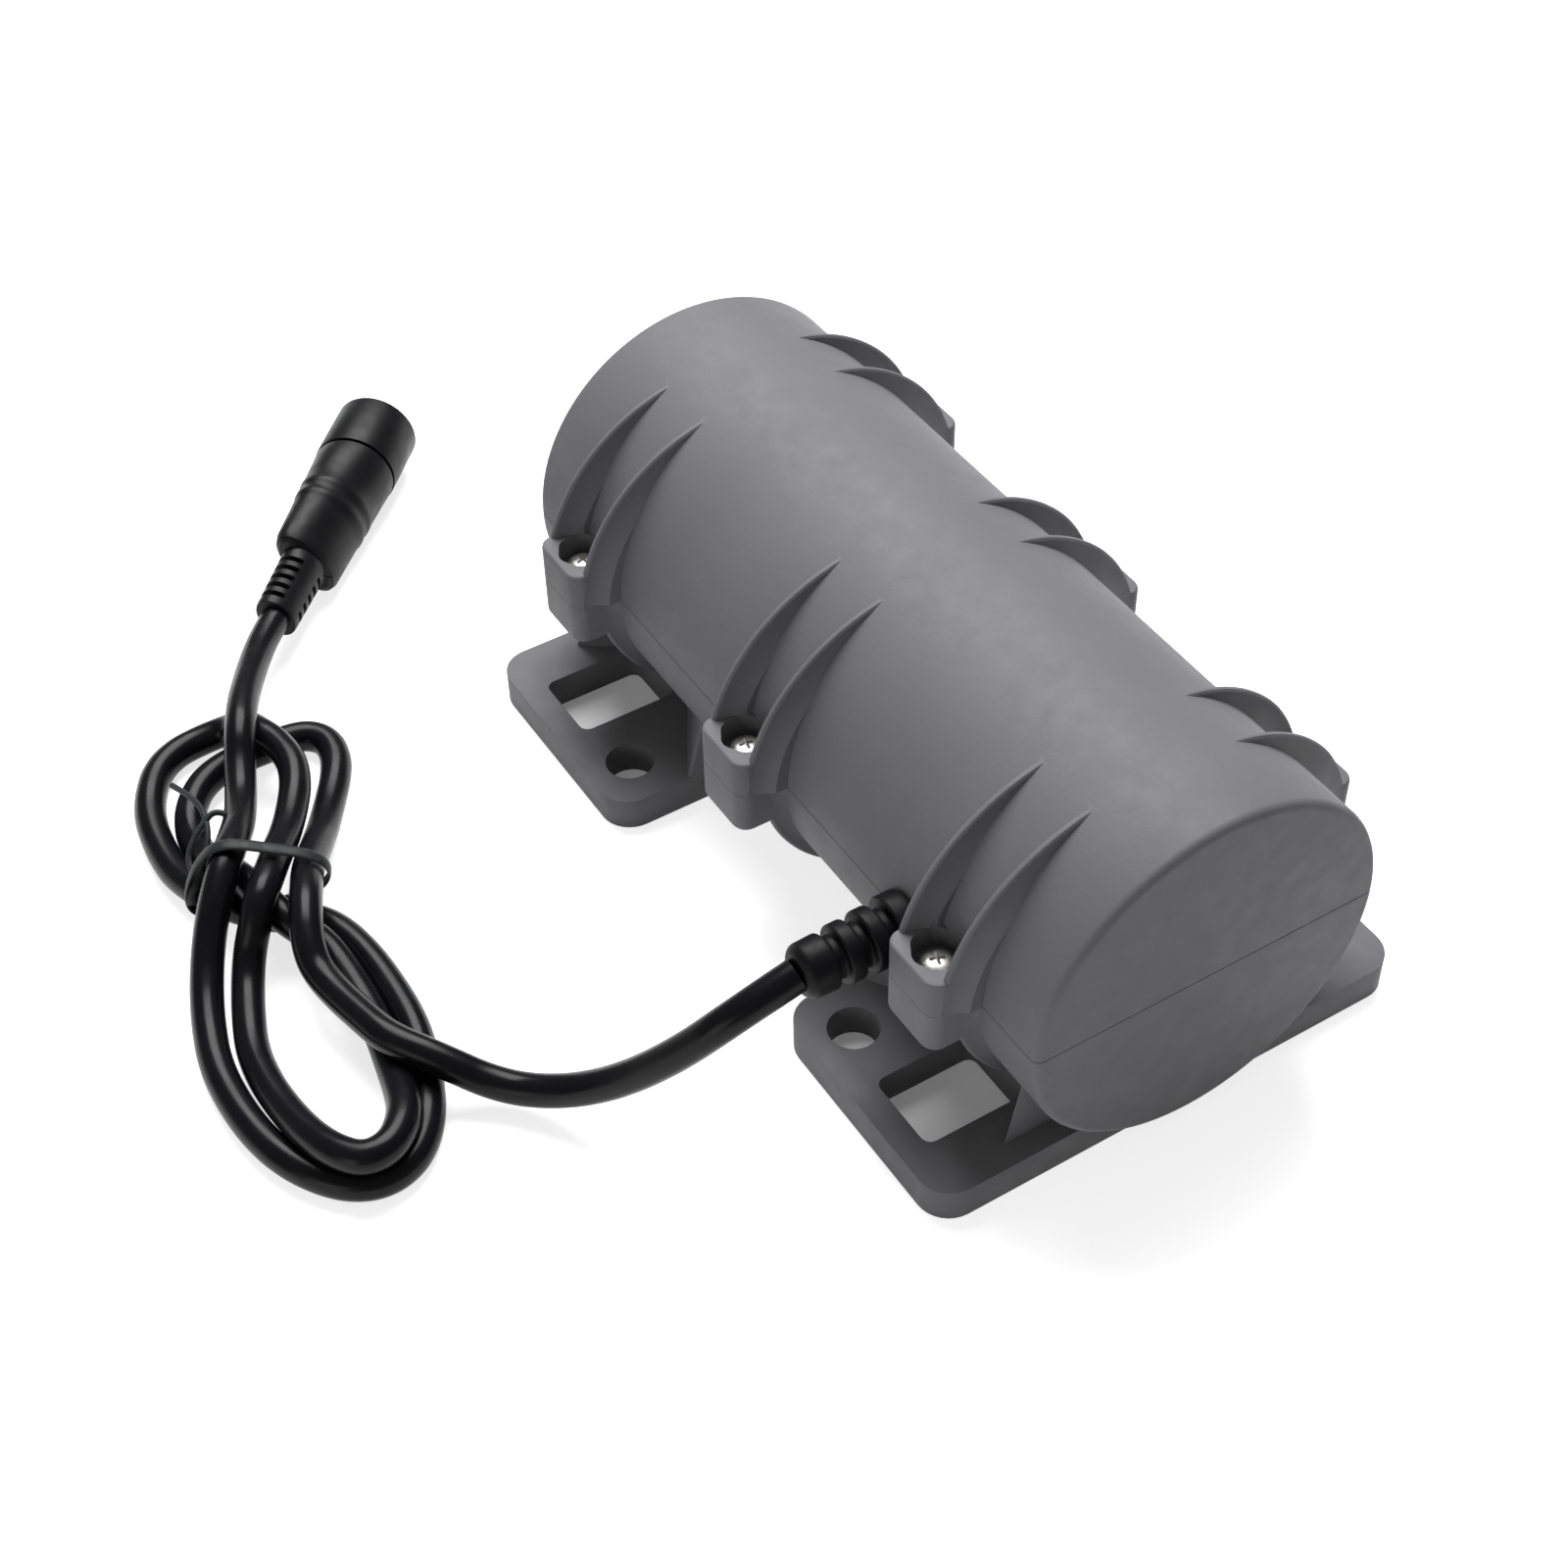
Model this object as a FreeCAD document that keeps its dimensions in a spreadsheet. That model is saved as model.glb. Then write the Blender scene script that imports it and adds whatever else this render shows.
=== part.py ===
"""Vibration motor: a clam-shell plastic housing round a 36 x 50 mm motor with two eccentric weights.

Frame: +Z up, X along the shaft, origin on the mounting plane under the middle of the housing.
The cord leaves the housing on the -Y side. All lengths are in millimetres.
"""
import FreeCAD, Part
import math
import os
import re
import Sketcher
from FreeCAD import Placement, Rotation, Vector

# ---------------------------------------------------------------- driving dimensions
SIZES = {
    # housing
    "axis_height": 25.6,
    "housing_length": 113.0,
    "housing_radius": 24.0,
    "housing_wall": 3.0,
    "end_wall": 3.0,
    "rim_chamfer": 1.0,
    # screw lugs and the webs that carry them
    "lug_pitch": 40.5,
    "lug_width": 9.8,
    "lug_reach": 30.1,
    "lug_rise": 5.2,
    "lug_drop": 6.2,
    "lug_chamfer": 1.6,
    "web_thickness": 1.0,
    "upper_web_shift": 5.2,
    "upper_web_drop": 1.6,
    "lower_web_shift": 2.9,
    "lower_web_rise": 1.5,
    "pocket_flats": 6.2,
    "pocket_floor": 2.0,
    "screw_offset": 26.0,
    # housing screws
    "screw_radius": 1.25,
    "screw_head_radius": 2.15,
    "screw_head_height": 1.7,
    "screw_depth": 4.6,
    "screw_clearance": 0.05,
    # feet
    "base_width": 68.4,
    "foot_thickness": 4.8,
    "foot_inner": 20.0,
    "foot_outer": 54.0,
    "foot_corner": 4.2,
    "mount_hole_radius": 3.25,
    "mount_hole_x": 27.1,
    "mount_hole_edge": 6.0,
    "slot_inner": 35.3,
    "slot_outer": 46.3,
    "slot_rim": 3.6,
    "slot_corner": 1.2,
    "pedestal_half_width": 16.5,
    "pedestal_outer": 50.0,
    "pedestal_rise": 12.0,
    "gusset_end": 32.3,
    "gusset_margin": 10.4,
    "gusset_lean": 3.4,
    "gusset_rise": 11.8,
    # motor
    "can_radius": 18.0,
    "can_wall": 1.5,
    "can_half_length": 22.0,
    "cradle_x": 17.0,
    "cradle_width": 3.0,
    "seat_gap": 0.02,
    "bell_thickness": 3.0,
    "spigot_length": 2.0,
    "spigot_wall": 2.0,
    "bearing_radius": 6.5,
    "bearing_width": 4.0,
    "bearing_lip": 1.2,
    "bearing_lip_radius": 4.2,
    "bearing_boss_wall": 2.5,
    "race_thickness": 0.9,
    "ball_radius": 1.0,
    "shaft_radius": 2.5,
    "shaft_end_gap": 2.5,
    "stator_half_length": 14.0,
    "stator_bore": 9.5,
    "yoke_thickness": 2.5,
    "tooth_width": 4.0,
    "shoe_width": 7.4,
    "shoe_thickness": 1.4,
    "coil_thickness": 1.8,
    "coil_overhang": 2.0,
    "coil_gap": 0.1,
    "rotor_half_length": 15.0,
    "rotor_core_radius": 6.0,
    "magnet_radius": 9.0,
    # eccentric weights
    "weight_rim_gap": 4.0,
    "weight_start": 28.5,
    "weight_end_gap": 5.0,
    "weight_hub_radius": 6.5,
    "set_screw_radius": 1.95,
    "set_screw_length": 3.4,
    "set_screw_inset": 5.0,
    "set_screw_socket": 2.0,
    "set_screw_clearance": 0.05,
    # driver board and inner leads
    "board_thickness": 1.2,
    "board_bore": 7.5,
    "chip_height": 1.3,
    "chip_width": 2.6,
    "chip_length": 3.25,
    "chip_inset": 1.95,
    "chip_turn": 15.0,
    "lead_radius": 0.6,
    "lead_spread": 1.2,
    "lead_hole_radius": 0.9,
    "lead_offset": 12.0,
    "lead_end_gap": 0.1,
    "lead_run_x": 26.8,
    "lead_bend": 1.2,
    # strain relief in the housing wall
    "gland_x": 31.5,
    "gland_neck_radius": 3.0,
    "gland_flange_radius": 4.2,
    "gland_inner_flange": 0.9,
    "gland_inner_gap": 0.5,
    "gland_flange_thickness": 2.7,
    "gland_ring_radius": 3.9,
    "gland_ring_taper": 0.2,
    "gland_ring_width": 2.1,
    "gland_groove_width": 1.3,
    "gland_tip_length": 4.0,
    "gland_tip_radius": 2.6,
    "gland_tip_bevel": 0.8,
    # cord, tie and in-line socket
    "cord_radius": 2.1,
    "hank_height": 11.8,
    "tie_thickness": 0.7,
    "tie_width": 2.0,
    "tie_length": 17.6,
    "connector_radius": 6.2,
    "connector_length": 44.0,
    "connector_head": 10.4,
    "connector_groove": 0.5,
    "connector_step": 0.1,
    "connector_edge": 0.5,
    "connector_body": 22.1,
    "connector_end_radius": 5.75,
    "connector_end_bevel": 1.0,
    "connector_flat_start": 4.0,
    "connector_flat_height": 3.3,
    "connector_roll": 56.0,
    "relief_root_radius": 3.6,
    "relief_tip_radius": 3.3,
    "relief_flat_height": 2.7,
    "relief_spine": 1.5,
    "relief_slot_width": 1.0,
    "socket_bore_radius": 3.15,
    "socket_depth": 10.0,
    "socket_mouth": 1.0,
    "socket_flare": 0.6,
    "sleeve_thickness": 0.3,
    "pin_radius": 1.05,
    "pin_recess": 1.5,
    "pin_nose": 0.5,
    "insulator_thickness": 1.5,
}

# Formulas for sizes that follow others
MOUNT_HOLE_Y = "(base_width / 2 - mount_hole_edge)"
SLOT_END = "(base_width / 2 - slot_rim)"
GUSSET_REACH = "(base_width / 2 - gusset_margin)"
CAVITY_END = "(housing_length / 2 - end_wall)"
CAVITY_RADIUS = "(housing_radius - housing_wall)"
SHAFT_END = f"({CAVITY_END} - shaft_end_gap)"
WEIGHT_END = f"({CAVITY_END} - weight_end_gap)"
WEIGHT_RADIUS = f"({CAVITY_RADIUS} - weight_rim_gap)"
GLAND_INNER_FACE = f"({CAVITY_RADIUS} - gland_inner_flange - gland_inner_gap)"
LEAD_RUN_OFFSET = f"({GLAND_INNER_FACE} - lead_end_gap - lead_radius)"

LUG_PLACES = (-1, 0, 1)
SIDES = (-1, 1)
BALL_COUNT = 8
TOOTH_COUNT = 6
RELIEF_SLOTS = 5
GLAND_RINGS = 2
# How much of a cord's run the arc at each of its ends may use
RUN_SHARE = 0.45

doc = FreeCAD.newDocument("vibration_motor")
sheet = doc.addObject("Spreadsheet::Sheet", "Sizes")
for row, (alias, number) in enumerate(SIZES.items(), start=1):
    sheet.set(f"A{row}", alias)
    sheet.set(f"B{row}", str(number))
    sheet.setAlias(f"B{row}", alias)
doc.recompute()


# ---------------------------------------------------------------- helpers
def bound(formula):
    """A formula in size names, written as an expression on the sheet."""
    return re.sub(r"[a-z]\w*", lambda word: "Sizes." + word[0] if word[0] in SIZES else word[0], formula)


def value(formula):
    """The number that a formula in size names gives."""
    return float(sheet.evalExpression(bound(formula)))


def place(piece, x="0", y="0", z="0", turn=Rotation()):
    """Puts a piece at three formulas, turned."""
    piece.Placement = Placement(Vector(), turn)
    for axis, formula in zip("xyz", (x, y, z)):
        piece.setExpression("Placement.Base." + axis, bound(formula))


def new_body(label, x="0", y="0", z="0", turn=Rotation()):
    """An empty body whose label is its node name."""
    body = doc.addObject("PartDesign::Body", label)
    body.Label = label
    place(body, x, y, z, turn)
    return body


def new_sketch(body, role, offset="0"):
    """A sketch on one of the body's own origin planes, moved along the plane's normal."""
    sketch = body.newObject("Sketcher::SketchObject", body.Name + "_sketch")
    plane = next(item for item in body.Origin.OriginFeatures if item.Role == role)
    sketch.AttachmentSupport = [(plane, "")]
    sketch.MapMode = "FlatFace"
    sketch.setExpression("AttachmentOffset.Base.z", bound(offset))
    return sketch


def pin_point(sketch, edge, end, across, up):
    """Fixes one point of a sketch at two formulas."""
    for kind, formula in (("DistanceX", across), ("DistanceY", up)):
        index = sketch.addConstraint(Sketcher.Constraint(kind, -1, 1, edge, end, value(formula)))
        sketch.setExpression(f"Constraints[{index}]", bound(formula))


def bind_radius(sketch, edge, formula):
    """Fixes the radius of a circle or an arc at a formula."""
    index = sketch.addConstraint(Sketcher.Constraint("Radius", edge, value(formula)))
    sketch.setExpression(f"Constraints[{index}]", bound(formula))


def circle(sketch, across, up, radius):
    """A circle of a formula's radius."""
    centre = Vector(value(across), value(up), 0)
    edge = sketch.addGeometry(Part.Circle(centre, Vector(0, 0, 1), value(radius)))
    pin_point(sketch, edge, 3, across, up)
    bind_radius(sketch, edge, radius)


def arc_between(start, end, radius, side):
    """The short arc from start to end, its centre left (+1) or right (-1) of the way."""
    way = end - start
    left = Vector(-way.y, way.x, 0).normalize()
    centre = (start + end) * 0.5 + left * side * math.sqrt(radius ** 2 - (way.Length / 2) ** 2)
    angles = [math.atan2(point.y - centre.y, point.x - centre.x) for point in (start, end)]
    return Part.ArcOfCircle(Part.Circle(centre, Vector(0, 0, 1), radius), *angles[::side])


def outline(sketch, corners):
    """A closed outline. A corner is (across, up), or (across, up, radius, side) where an arc leaves it."""
    points = [Vector(value(corner[0]), value(corner[1]), 0) for corner in corners]
    edges = []
    for index, corner in enumerate(corners):
        start, end = points[index], points[(index + 1) % len(points)]
        if len(corner) == 2:
            edges.append((sketch.addGeometry(Part.LineSegment(start, end)), 1, 2))
        else:
            arc = arc_between(start, end, value(corner[2]), corner[3])
            edge = sketch.addGeometry(arc)
            edges.append((edge, 1, 2) if corner[3] > 0 else (edge, 2, 1))
    for before, after in zip(edges, edges[1:] + edges[:1]):
        sketch.addConstraint(Sketcher.Constraint("Coincident", before[0], before[2], after[0], after[1]))
    for (edge, first, last), corner in zip(edges, corners):
        if len(corner) == 4:
            bind_radius(sketch, edge, corner[2])
        pin_point(sketch, edge, first, corner[0], corner[1])


def rounded_rectangle(sketch, low, high, left, right, radius):
    """A rectangle between formulas, low to high across and left to right upwards, with round corners."""
    r = f"({radius})"
    outline(sketch, [
        (f"{low} + {r}", left), (f"{high} - {r}", left, radius, 1),
        (high, f"{left} + {r}"), (high, f"{right} - {r}", radius, 1),
        (f"{high} - {r}", right), (f"{low} + {r}", right, radius, 1),
        (low, f"{right} - {r}"), (low, f"{left} + {r}", radius, 1),
    ])


def feature(body, kind, sketch, **settings):
    """Adds a sketch-based feature; settings given as text are formulas."""
    item = body.newObject("PartDesign::" + kind, body.Name + "_" + kind.lower())
    item.Profile = sketch
    for name, setting in settings.items():
        if name in ("Length", "Length2", "Angle"):
            item.setExpression(name, bound(setting))
        else:
            setattr(item, name, setting)
    body.Tip = item
    return item


def revolve(body, corners, kind="Revolution", angle="360", **settings):
    """Turns an outline (along X, radius) about the body's X axis, adding or cutting."""
    sketch = new_sketch(body, "XY_Plane")
    outline(sketch, corners)
    feature(body, kind, sketch, ReferenceAxis=(sketch, ["H_Axis"]), Angle=angle, **settings)


def turned(label, corners, x="0", y="0", z="axis_height", turn=Rotation()):
    """A body turned about its own X axis."""
    body = new_body(label, x, y, z, turn)
    revolve(body, corners)
    return body


def tube_corners(start, end, inner, outer):
    """The outline of a plain ring or rod, for turning."""
    return [(start, inner), (end, inner), (end, outer), (start, outer)]


def group(label, source, places):
    """One node of separate copies of a piece, each at (x, y, z formulas, rotation)."""
    copies = []
    for x, y, z, turn in places:
        copy = doc.addObject("App::Link", label + "_copy")
        copy.LinkedObject = source
        copy.LinkTransform = False
        place(copy, x, y, z, turn)
        copies.append(copy)
    node = doc.addObject("Part::Compound", label)
    node.Label = label
    node.Links = copies
    return node


def tilt(degrees):
    """A turn about X."""
    return Rotation(Vector(1, 0, 0), degrees)


# ---------------------------------------------------------------- housing
def lug_centre(index):
    return f"{index} * lug_pitch"


def add_lugs(body, rise, direction):
    """Six blocks with bevelled outer corners beside the seam."""
    sketch = new_sketch(body, "XY_Plane")
    for index in LUG_PLACES:
        for side in SIDES:
            x = lug_centre(index)
            root, face = f"{side} * {CAVITY_RADIUS}", f"{side} * lug_reach"
            shoulder = f"{side} * (lug_reach - lug_chamfer)"
            outline(sketch, [
                (f"{x} - lug_width / 2", root), (f"{x} + lug_width / 2", root),
                (f"{x} + lug_width / 2", shoulder), (f"{x} + lug_width / 2 - lug_chamfer", face),
                (f"{x} - lug_width / 2 + lug_chamfer", face), (f"{x} - lug_width / 2", shoulder),
            ])
    feature(body, "Pad", sketch, Length=rise, Reversed=direction < 0)


def add_webs(body, shift, sink, direction):
    """Two thin curved webs per lug, each an arc that runs into the round of the housing."""
    for index in LUG_PLACES:
        for edge in ("-lug_width / 2", "lug_width / 2 - web_thickness"):
            sketch = new_sketch(body, "YZ_Plane", f"{lug_centre(index)} + {edge}")
            for side in SIDES:
                foot = f"{side} * ({shift} + sqrt(housing_radius ^ 2 - {sink} ^ 2))"
                crown = f"{direction} * (housing_radius - {sink})"
                outline(sketch, [
                    (foot, "0", "housing_radius", side * direction),
                    (f"{side} * {shift}", crown), (f"{side} * {shift}", "0"),
                ])
            feature(body, "Pad", sketch, Length="web_thickness")


def hollow(body):
    """Cuts the cavity, leaving two cradle rings that hold the motor can."""
    end, wall = CAVITY_END, CAVITY_RADIUS
    seat = "(can_radius + seat_gap)"
    near, far = "(cradle_x - cradle_width / 2)", "(cradle_x + cradle_width / 2)"
    revolve(body, [
        (f"-{end}", "0"), (end, "0"), (end, wall), (far, wall), (far, seat), (near, seat), (near, wall),
        (f"-{near}", wall), (f"-{near}", seat), (f"-{far}", seat), (f"-{far}", wall), (f"-{end}", wall),
    ], kind="Groove")


def cut_gland_hole(body):
    """Half of the round hole in the -Y wall that grips the strain relief's neck."""
    sketch = new_sketch(body, "XZ_Plane", "housing_radius - housing_wall / 2")
    circle(sketch, "gland_x", "0", "gland_neck_radius")
    feature(body, "Pocket", sketch, Length="3 * housing_wall", SideType="Symmetric")


def drill_lugs(body, offset, depth, radius, reverse):
    """A round hole down each lug."""
    sketch = new_sketch(body, "XY_Plane", offset)
    for index in LUG_PLACES:
        for side in SIDES:
            circle(sketch, lug_centre(index), f"{side} * screw_offset", radius)
    feature(body, "Pocket", sketch, Length=depth, Reversed=reverse)


def half_round(body, direction):
    """Half of the housing's closed cylinder, with bevelled end rims."""
    end, rim = "housing_length / 2", "(housing_radius - rim_chamfer)"
    revolve(body, [
        (f"-{end}", "0"), (end, "0"), (end, rim), (f"{end} - rim_chamfer", "housing_radius"),
        (f"-{end} + rim_chamfer", "housing_radius"), (f"-{end}", rim),
    ], angle="180", Reversed=direction < 0)


def upper_housing():
    body = new_body("upper_housing", z="axis_height")
    half_round(body, 1)
    add_lugs(body, "lug_rise", 1)
    add_webs(body, "upper_web_shift", "upper_web_drop", 1)
    hollow(body)
    cut_gland_hole(body)
    pockets = new_sketch(body, "XY_Plane", "pocket_floor")
    for index in LUG_PLACES:
        for side in SIDES:
            x, y = lug_centre(index), f"{side} * screw_offset"
            half, point = "pocket_flats / 2", "pocket_flats / sqrt(3)"
            outline(pockets, [
                (f"{x} + {half}", f"{y} - {point} / 2"), (f"{x} + {half}", f"{y} + {point} / 2"),
                (x, f"{y} + {point}"), (f"{x} - {half}", f"{y} + {point} / 2"),
                (f"{x} - {half}", f"{y} - {point} / 2"), (x, f"{y} - {point}"),
            ])
    feature(body, "Pocket", pockets, Length="housing_radius", Reversed=True)
    drill_lugs(body, "pocket_floor", "2 * pocket_floor", "screw_radius + screw_clearance", False)
    return body


def lower_housing():
    body = new_body("lower_housing", z="axis_height")
    half_round(body, -1)
    add_lugs(body, "lug_drop", -1)
    add_webs(body, "lower_web_shift", "lower_web_rise", -1)
    add_feet(body)
    add_pedestals(body)
    add_gussets(body)
    hollow(body)
    cut_gland_hole(body)
    drill_lugs(body, "0", "screw_depth + screw_clearance", "screw_radius + screw_clearance", False)
    return body


def add_feet(body):
    """Two plates, each with two bolt holes and two slots under the outer lugs."""
    sketch = new_sketch(body, "XY_Plane", "-axis_height")
    for end in SIDES:
        near, far = (f"{end} * foot_inner", f"{end} * foot_outer")[::end]
        rounded_rectangle(sketch, near, far, "-base_width / 2", "base_width / 2", "foot_corner")
        near, far = (f"{end} * slot_inner", f"{end} * slot_outer")[::end]
        for side in SIDES:
            circle(sketch, f"{end} * mount_hole_x", f"{side} * {MOUNT_HOLE_Y}", "mount_hole_radius")
            inner, outer = (f"{side} * pedestal_half_width", f"{side} * {SLOT_END}")[::side]
            rounded_rectangle(sketch, near, far, inner, outer, "slot_corner")
    feature(body, "Pad", sketch, Length="foot_thickness")


def add_pedestals(body):
    """A block on each plate that carries the round of the housing."""
    sketch = new_sketch(body, "XY_Plane", "-axis_height")
    for end in SIDES:
        near, far = (f"{end} * foot_inner", f"{end} * pedestal_outer")[::end]
        outline(sketch, [
            (near, "-pedestal_half_width"), (far, "-pedestal_half_width"),
            (far, "pedestal_half_width"), (near, "pedestal_half_width"),
        ])
    feature(body, "Pad", sketch, Length="pedestal_rise")


def add_gussets(body):
    """Flared buttresses, flush with each plate's inner edge, that narrow to the pedestal."""
    plate_top = "foot_thickness - axis_height"
    for end in SIDES:
        wide = new_sketch(body, "YZ_Plane", f"{end} * foot_inner")
        outline(wide, [
            (f"-{GUSSET_REACH}", plate_top), (GUSSET_REACH, plate_top),
            (f"{GUSSET_REACH} - gusset_lean", f"{plate_top} + gusset_rise"),
            (f"gusset_lean - {GUSSET_REACH}", f"{plate_top} + gusset_rise"),
        ])
        narrow = new_sketch(body, "YZ_Plane", f"{end} * gusset_end")
        outline(narrow, [
            ("-pedestal_half_width", plate_top), ("pedestal_half_width", plate_top),
            ("pedestal_half_width", "pedestal_rise - axis_height"),
            ("-pedestal_half_width", "pedestal_rise - axis_height"),
        ])
        feature(body, "AdditiveLoft", wide, Sections=[narrow], Ruled=True)


def housing_screws():
    screw = turned("one_housing_screw", [
        ("-screw_depth - pocket_floor", "0"), ("screw_head_height", "0"),
        ("screw_head_height", "screw_head_radius / 2"), ("screw_head_height / 2", "screw_head_radius"),
        ("0", "screw_head_radius"), ("0", "screw_radius"), ("-screw_depth - pocket_floor", "screw_radius"),
    ], z="0")
    upright = Rotation(Vector(0, 1, 0), -90)
    return group("housing_screws", screw, [
        (lug_centre(index), f"{side} * screw_offset", "axis_height + pocket_floor", upright)
        for index in LUG_PLACES for side in SIDES
    ])


# ---------------------------------------------------------------- motor
def end_bell(label, end):
    """A cast end bell: flange, spigot inside the can, and a boss round the bearing."""
    face = "(can_half_length + bell_thickness)"
    seat = "(can_radius - can_wall)"
    boss = "(bearing_radius + bearing_boss_wall)"
    body = turned(label, [(f"{end} * {x}", radius) for x, radius in (
        (f"({face} - bearing_width)", "bearing_radius"), (face, "bearing_radius"),
        (face, "bearing_lip_radius"), (f"({face} + bearing_lip)", "bearing_lip_radius"),
        (f"({face} + bearing_lip)", boss), (face, boss), (face, "can_radius"),
        ("can_half_length", "can_radius"), ("can_half_length", seat),
        ("(can_half_length - spigot_length)", seat),
        ("(can_half_length - spigot_length)", f"{seat} - spigot_wall"),
        ("can_half_length", f"{seat} - spigot_wall"), ("can_half_length", boss),
        (f"({face} - bearing_width)", boss),
    )])
    return body


def front_end_bell():
    """The front bell also passes the two leads."""
    body = end_bell("front_end_bell", 1)
    sketch = new_sketch(body, "YZ_Plane", "can_half_length + bell_thickness / 2")
    for side in SIDES:
        circle(sketch, "-lead_offset", f"{side} * lead_spread", "lead_hole_radius")
    feature(body, "Pocket", sketch, Length="2 * bell_thickness", SideType="Symmetric")
    return body


def bearing(name, end):
    """Outer ring, inner ring and balls of one shaft bearing."""
    outer = "can_half_length + bell_thickness"
    near, far = f"{end} * ({outer} - bearing_width)", f"{end} * ({outer})"
    pitch = "(bearing_radius + shaft_radius) / 2"
    ring = turned(name + "_bearing_outer",
                  tube_corners(near, far, "bearing_radius - race_thickness", "bearing_radius"))
    core = turned(name + "_bearing_inner",
                  tube_corners(near, far, "shaft_radius", "shaft_radius + race_thickness"))
    ball = doc.addObject("Part::Sphere", name + "_ball")
    ball.setExpression("Radius", bound("ball_radius"))
    middle = f"{end} * ({outer} - bearing_width / 2)"
    step = 360 / BALL_COUNT
    balls = group(name + "_bearing_balls", ball, [
        (middle, f"{pitch} * cos({step * index})", f"axis_height + {pitch} * sin({step * index})",
         Rotation())
        for index in range(BALL_COUNT)
    ])
    return [ring, core, balls]


def stator_core():
    """A yoke ring with six teeth, each ending in a wide shoe round the bore."""
    body = new_body("stator_core", z="axis_height")
    ring = new_sketch(body, "YZ_Plane")
    circle(ring, "0", "0", "can_radius - can_wall")
    circle(ring, "0", "0", "can_radius - can_wall - yoke_thickness")
    feature(body, "Pad", ring, Length="2 * stator_half_length", SideType="Symmetric")
    tooth = new_sketch(body, "YZ_Plane")
    root, shoe = "stator_bore - shoe_thickness", "stator_bore + shoe_thickness"
    yoke = "can_radius - can_wall - yoke_thickness / 2"
    outline(tooth, [
        ("-shoe_width / 2", root), ("shoe_width / 2", root),
        ("shoe_width / 2", shoe), ("tooth_width / 2", shoe), ("tooth_width / 2", yoke),
        ("-tooth_width / 2", yoke), ("-tooth_width / 2", shoe), ("-shoe_width / 2", shoe),
    ])
    stem = feature(body, "Pad", tooth, Length="2 * stator_half_length", SideType="Symmetric")
    doc.recompute()
    teeth = body.newObject("PartDesign::PolarPattern", "stator_teeth")
    teeth.Originals = [stem]
    axis = next(item for item in body.Origin.OriginFeatures if item.Role == "X_Axis")
    teeth.Axis = (axis, [""])
    teeth.Angle = 360
    teeth.Occurrences = TOOTH_COUNT
    body.Tip = teeth
    bore = new_sketch(body, "YZ_Plane")
    circle(bore, "0", "0", "stator_bore")
    feature(body, "Pocket", bore, Length="3 * stator_half_length", SideType="Symmetric")
    return body


def stator_windings():
    """One coil round each tooth."""
    inner_x, inner_y = "(stator_half_length + coil_gap)", "(tooth_width / 2 + coil_gap)"
    outer_x, outer_y = "(stator_half_length + coil_overhang)", f"({inner_y} + coil_thickness)"
    low = "stator_bore + shoe_thickness + coil_gap"
    high = f"sqrt((can_radius - can_wall - yoke_thickness) ^ 2 - {outer_y} ^ 2) - coil_gap"
    coil = new_body("one_coil")
    sketch = new_sketch(coil, "XY_Plane", low)
    rounded_rectangle(sketch, f"-{outer_x}", outer_x, f"-{outer_y}", outer_y, "coil_overhang")
    outline(sketch, [
        (f"-{inner_x}", f"-{inner_y}"), (inner_x, f"-{inner_y}"),
        (inner_x, inner_y), (f"-{inner_x}", inner_y),
    ])
    feature(coil, "Pad", sketch, Length=f"{high} - ({low})")
    step = 360 / TOOTH_COUNT
    return group("stator_windings", coil, [
        ("0", "0", "axis_height", tilt(step * index)) for index in range(TOOTH_COUNT)
    ])


def driver_board():
    """A ring-shaped circuit board that rests on the front bell's spigot."""
    far = "(can_half_length - spigot_length)"
    return turned("driver_board", tube_corners(
        f"{far} - board_thickness", far, "board_bore", "can_radius - can_wall - coil_gap"))


def driver_parts():
    """The switching transistors and the controller on the board."""
    chip = doc.addObject("Part::Box", "one_chip")
    chip.setExpression("Length", bound("chip_height"))
    chip.setExpression("Width", bound("chip_width"))
    chip.setExpression("Height", bound("chip_length"))
    face = "can_half_length - spigot_length - board_thickness - chip_height"
    places = []
    for index in range(TOOTH_COUNT):
        angle = 360 / TOOTH_COUNT * index + value("chip_turn")
        radius = "(board_bore + chip_inset)"
        across, up = f"-{radius} * sin({angle})", f"axis_height + {radius} * cos({angle})"
        places.append((face, across, up, tilt(angle)))
    return group("driver_parts", chip, places)


def weight(label, end):
    """Half a disc on a hub, clamped on the shaft by two set screws."""
    near, far = f"{end} * weight_start", f"{end} * {WEIGHT_END}"
    body = new_body(label, z="axis_height")
    revolve(body, tube_corners(near, far, "0", WEIGHT_RADIUS), angle="180", Reversed=True)
    revolve(body, tube_corners(near, far, "0", "weight_hub_radius"))
    revolve(body, tube_corners(near, far, "0", "shaft_radius"), kind="Groove")
    sketch = new_sketch(body, "XY_Plane")
    for x in set_screw_places(end):
        circle(sketch, x, "0", "set_screw_radius + set_screw_clearance")
    feature(body, "Pocket", sketch, Length="2 * weight_hub_radius", Reversed=True)
    return body


def set_screw_places(end):
    """The two set screws' places along the shaft."""
    return [f"{end} * (weight_start + set_screw_inset)",
            f"{end} * ({WEIGHT_END} - set_screw_inset)"]


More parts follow.
